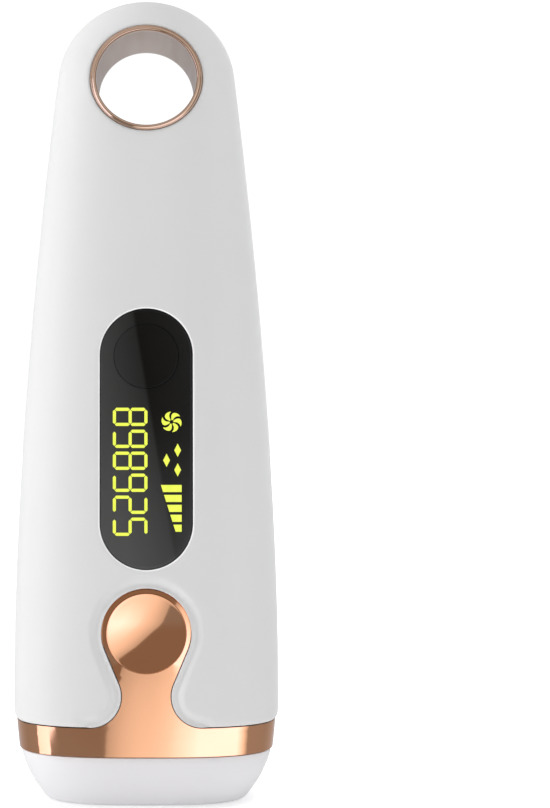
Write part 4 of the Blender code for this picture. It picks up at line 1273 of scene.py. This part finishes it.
def make_materials():
    even = {"depth": 0.008, "vary": 0.006, "shine": 0.35}
    return {
        "white": moulded("white_shell_plastic", (0.633, 0.633, 0.633), 0.42, **even),
        # Painted highlight round the display window: a lighter base colour, with a glossier finish
        "edge": moulded("painted_highlight_white_edge", (0.86, 0.86, 0.86), 0.25, depth=0.004, vary=0.006),
        "head": moulded("white_head_plastic", (0.685, 0.68, 0.695), 0.42, **even),
        "gold": metal("polished_rose_gold", GOLD, 0.07, depth=0.002),
        "key": metal("turned_rose_gold", GOLD, 0.06, depth=0.002),
        "rim": metal("rolled_rim_gold", (0.66, 0.46, 0.34), 0.1, depth=0.002),
        "liner": metal("satin_liner_wall", (0.70, 0.55, 0.46), 0.38, 500, 0.01, stretch=(1, 0.1, 1)),
        # The display window and the mode key get a painted reflection in their colour: lighter left of a
        # slanted edge and lighter towards the lower end
        "lens": smoked("smoked_acrylic_painted_sheen", 0.09, 1.0),
        "mode": smoked("black_key_plastic_painted_sheen", 0.14, 0.8),
        "glow": glowing("lit_segments", (0.83, 0.94, 0.085), 0.98),
        "bezel": metal("satin_window_metal", (0.80, 0.80, 0.82), 0.28, grain=900, stretch=(0.1, 1, 1)),
        "pane": clear_glass("filter_glass_pane", (0.93, 0.88, 0.72), 0.03, 60),
        "lamp": clear_glass("lamp_quartz", (0.95, 0.96, 0.98), 0.02, 90),
        "contact": metal("plated_contact", (0.75, 0.75, 0.77), 0.16),
        "mirror": metal("reflector_mirror", (0.90, 0.90, 0.92), 0.06),
        "steel": metal("plated_steel", (0.62, 0.62, 0.64), 0.3, grain=1400),
        "holder": moulded("heat_proof_moulding", (0.72, 0.70, 0.63), 0.55, 500, depth=0.05, vary=0.06),
        "black": moulded("black_moulding", (0.022, 0.022, 0.023), 0.45, grain=800, depth=0.04, vary=0.15),
        "plunger": moulded("grey_moulding", (0.45, 0.45, 0.43), 0.4, grain=900, depth=0.02),
        "board": circuit_board("board_laminate"),
        "sleeve": moulded("capacitor_sleeve", (0.02, 0.035, 0.14), 0.32, 300, depth=0.04, vary=0.15),
        "ferrite": moulded("ferrite_core", (0.05, 0.05, 0.055), 0.62, grain=1500, depth=0.08, vary=0.2),
        "copper": wound("copper_winding", (0.75, 0.33, 0.14), 900),
        "sink": metal("extruded_aluminium", (0.72, 0.73, 0.75), 0.38, grain=600, stretch=(1, 1, 0.08)),
        "bronze": metal("sintered_bronze", (0.50, 0.32, 0.13), 0.45, grain=1600, depth=0.03, vary=0.12),
        "white_wire": moulded("white_silicone", (0.72, 0.72, 0.69), 0.5, grain=700, depth=0.03),
        "red_wire": moulded("red_insulation", (0.50, 0.025, 0.015), 0.45, grain=700, depth=0.03, vary=0.08),
    }


INNER_MATERIALS = {
    "lamp": ["flash_lamp"],
    "steel": [
        "lamp_cap_left", "lamp_cap_right", "fan_shaft", *[f"front_board_screw_{i}" for i in (1, 2, 3, 4)],
        *[f"main_board_screw_{i}" for i in (1, 2, 3)],
    ],
    "mirror": ["reflector"],
    "holder": ["lamp_holder"],
    "black": ["display_module", "mode_switch", "flash_switch", "power_transistor", "fan_frame"],
    "plunger": ["mode_plunger", "flash_plunger"],
    "board": ["front_board", "main_board"],
    "sleeve": ["storage_capacitor"],
    "ferrite": ["flyback_core"],
    "copper": ["flyback_winding", "trigger_coil"],
    "sink": ["heat_sink"],
    "bronze": ["fan_bearing"],
    "white_wire": ["lamp_lead_left", "lamp_lead_right", "board_harness"],
    "red_wire": ["fan_lead"],
}


def paint_inner_nodes(materials):
    for key, names in INNER_MATERIALS.items():
        for name in names:
            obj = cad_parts[name]
            obj.data.materials.clear()
            obj.data.materials.append(materials[key])


# ---------------------------------------------------------------- stage, light and camera


def emitter(name, strength):
    """A material that glows white."""
    material = bpy.data.materials.new(name)
    material.use_nodes = True
    tree = material.node_tree
    tree.nodes.clear()
    light = node(tree, "ShaderNodeEmission", Color=(1, 1, 1, 1), Strength=strength)
    node(tree, "ShaderNodeOutputMaterial", Surface=light.outputs["Emission"])
    return material


def stage_sheet(name, corners, material):
    bm = bmesh.new()
    bm.faces.new([bm.verts.new(c) for c in corners])
    obj = mesh_piece(name, bm)
    obj.data.materials.append(material)
    return obj


def hide_from(obj, *rays):
    for kind in rays:
        setattr(obj, f"visible_{kind}", False)


def card_lines(rows):
    """Fills in lines between the rows, at most about CARD_STEP degrees apart."""
    for (low, low_stops), (high, high_stops) in zip(rows, rows[1:]):
        count = max(1, round(abs(high - low) / CARD_STEP))
        for i in range(count):
            t = i / count
            stops = [(a + (c - a) * t, b + (d - b) * t) for (a, b), (c, d) in zip(low_stops, high_stops)]
            yield low + (high - low) * t, stops
    yield rows[-1]


def card_tint(azimuth, elevation, strength, upper_tint):
    """Strong light is a little bluer, light from behind a little cooler; above the reflections in the band
    the card takes the upper tint."""
    blue = 1 + 0.3 * min(1, max(0, strength - 1))
    behind = ease((abs(azimuth) - 90) / 70)
    cool = Vector((1, 1 + 0.05 * behind, blue * (1 + 0.12 * behind)))
    return cool * Vector((1, 1, 1)).lerp(Vector(upper_tint), ease((elevation + 16) / 9))


def reflector_card(name, rows, upper_tint=(1, 1, 1)):
    """A glowing sheet round the device that shows only in reflections. Each row is an elevation and its
    stops (azimuth, strength), in degrees seen from CARD_CENTRE; azimuth 0 is straight in front."""
    bm = bmesh.new()
    glow = bm.verts.layers.float_color.new("glow")
    parts = 8
    grid = []
    for elevation, stops in card_lines(rows):
        line = []
        for (a, b), (c, d) in zip(stops, stops[1:]):
            line += [(a + (c - a) * i / parts, b + (d - b) * i / parts) for i in range(parts)]
        line.append(stops[-1])
        up = math.radians(elevation)
        row = []
        for azimuth, strength in line:
            across = math.radians(azimuth)
            level = Vector((math.sin(across), -math.cos(across), 0)) * math.cos(up)
            vert = bm.verts.new(CARD_CENTRE + (level + Vector((0, 0, math.sin(up)))) * CARD_DISTANCE)
            vert[glow] = (*(strength * card_tint(azimuth, elevation, strength, upper_tint)), 1)
            row.append(vert)
        grid.append(row)
    for low, high in zip(grid, grid[1:]):
        for i in range(len(low) - 1):
            bm.faces.new((low[i], low[i + 1], high[i + 1], high[i]))
    material = emitter(f"{name}_glow", 1.0)
    tree = material.node_tree
    attribute = node(tree, "ShaderNodeAttribute", attribute_name="glow")
    feed(tree, tree.nodes["Emission"], Color=attribute.outputs["Color"])
    obj = mesh_piece(name, bm)
    obj.data.materials.append(material)
    hide_from(obj, "camera", "diffuse", "shadow", "transmission")


def sun(name, towards, strength, spread):
    """Soft light from one side that shows only on matt surfaces."""
    data = bpy.data.lights.new(name, "SUN")
    data.energy = strength
    data.angle = math.radians(spread)
    obj = link(bpy.data.objects.new(name, data))
    obj.rotation_euler = Vector(towards).to_track_quat("Z", "Y").to_euler()
    hide_from(obj, "glossy")


def make_stage():
    """A pale floor, and white walls all round that only the camera sees."""
    pale, tree, shader, vector = new_material("pale_floor")
    shade = noise(tree, vector, 6, 2)
    floor_colour = ramp(tree, shade, (0.2, (0.93, 0.93, 0.93)), (0.8, (0.95, 0.95, 0.95)))
    feed(
        tree, shader, Base_Color=floor_colour, Roughness=0.9, Specular_IOR_Level=0.0,
        Emission_Color=(1, 1, 1, 1), Emission_Strength=0.27,
    )
    reach, far, tall = 3.0, 2.9, 3.0
    floor = stage_sheet("floor", [(x, y, 0) for x, y in square(reach)], pale)
    hide_from(floor, "glossy")
    world = bpy.data.worlds.new("studio")
    bpy.context.scene.world = world
    world.use_nodes = True
    feed(world.node_tree, world.node_tree.nodes["Background"], Color=(1, 1, 1, 1), Strength=WORLD_STRENGTH)
    back = emitter("backdrop_glow", 1.05)
    corners = square(far)
    for i, (a, b) in enumerate(zip(corners, corners[1:] + corners[:1])):
        backdrop = stage_sheet(f"backdrop_{i}", ((*a, 0), (*b, 0), (*b, tall), (*a, tall)), back)
        hide_from(backdrop, "glossy", "diffuse", "shadow")


def square(half):
    return [(-half, -half), (half, -half), (half, half), (-half, half)]


# The glowing cards' middle, how far away they are, and the degrees between their lines
CARD_CENTRE = Vector((0, 0, 30 * MM))
CARD_STEP = 3
CARD_DISTANCE = 0.62
WORLD_STRENGTH = 0.66

# How strongly the card on each side of the device glows
DARK = 0.28
LEFT_STRIP = (1.6, 1.85)
BACK_LEFT = ((-180, 0.6), (-140, 0.42), (-110, 0.32), (-79, 0.34))
BACK_RIGHT = ((64, 0.36), (110, 0.34), (140, 0.42), (180, 0.6))
CARD_LOW, CARD_HIGH = -60, 30

# The slanted edge between the bright strip at the band's left end and the dark card, as (elevation, azimuth)
STRIP_EDGE = ((-60, -66), (-14.6, -56), (-13, -46), (30, -43))

# Name, azimuth, rise and strength of each light on the matt surfaces, and how wide each looks in degrees
SUN_SPREAD = 20
SUNS = (("left_sun", -84, 0.1, 2.0), ("right_rim_sun", 150, 0.1, 1.7), ("upper_sun", 90, 5.0, 1.2))

# The slanted edge of the dark card, as (elevation, azimuth)
DARK_EDGE = ((-60, -35), (-25.6, -16), (-19, -12.8), (-13, -9.9), (-10.5, -7.8), (-7.7, -4.4), (1.8, 6.1),
             (10.1, 18.8), (16, 22), (30, 22))

# How bright the middle card is, by degrees from that edge: in general, and in the strip that the band shows
AWAY = (
    (0, 0.62, 0.62), (3, 0.76, 0.76), (6, 0.93, 0.93), (9, 1.05, 1.05), (12, 1.12, 1.22), (15, 1.15, 1.5),
    (19, 1.2, 1.68), (24, 1.25, 1.9),
)
STRIP_AT, STRIP_REACH = -12.3, 9.0
FAR_RIGHT = ((48, 1.25, 1.95), (56, 0.9, 1.3), (64, 0.5, 0.5))


def along_edge(edge, elevation):
    return float(np.interp(elevation, *zip(*edge)))


def make_lights():
    for name, azimuth, rise, strength in SUNS:
        across = math.radians(azimuth)
        sun(name, (math.sin(across), -math.cos(across), rise), strength, SUN_SPREAD)
    reflector_card("card_back_left", [(el, BACK_LEFT) for el in (CARD_LOW, CARD_HIGH)])
    outer, inner = LEFT_STRIP
    reflector_card("card_left", [(el, [(BACK_LEFT[-1][0], outer), (az, inner)]) for el, az in STRIP_EDGE])
    rows = []
    for el in sorted({el for el, _ in STRIP_EDGE + DARK_EDGE}):
        rows.append((el, [(along_edge(edge, el), DARK) for edge in (STRIP_EDGE, DARK_EDGE)]))
    reflector_card("card_dark", rows, (0.9, 0.74, 0.6))
    rows = []
    for el, edge in DARK_EDGE:
        strip = math.exp(-(((el - STRIP_AT) / STRIP_REACH) ** 2))
        stops = [(edge + away, a + (b - a) * strip) for away, a, b in AWAY]
        stops += [(az, a + (b - a) * strip) for az, a, b in FAR_RIGHT]
        rows.append((el, stops))
    reflector_card("card_middle", rows)
    reflector_card("card_right", [(el, BACK_RIGHT) for el in (CARD_LOW, CARD_HIGH)])


def make_camera():
    """Level, straight in front, with the device left of the middle of the frame."""
    frame_long_side, focal = 808, 1750
    data = bpy.data.cameras.new("camera")
    data.sensor_fit = "AUTO"
    data.sensor_width = 36
    data.lens = data.sensor_width * focal / frame_long_side
    data.shift_x = 0.1593
    data.clip_start = 0.01
    obj = link(bpy.data.objects.new("camera", data))
    obj.location = (0, -0.421, 0.0933)
    obj.rotation_euler = (math.radians(90), 0, 0)
    bpy.context.scene.camera = obj


def main():
    scene = bpy.context.scene
    scene.view_settings.view_transform = "Standard"
    m = make_materials()
    make_front_shell(m["white"], m["edge"])
    make_tongue_bed(m["white"])
    make_seam_rib(m["white"])
    make_rear_shell(m["white"])
    make_wells(m["white"])
    make_head(m["head"])
    make_trim(m["gold"])
    make_flash_button(m["key"])
    make_ring_liner(m["rim"], m["liner"])
    make_lens(m["lens"])
    make_mode_button(m["mode"])
    make_read_out(m["glow"])
    make_window(m["bezel"], m["pane"], m["contact"])
    make_screws(m["steel"])
    make_inlet(m["black"], m["steel"])
    make_rotor(m["black"])
    paint_inner_nodes(m)
    make_stage()
    make_lights()
    make_camera()


main()
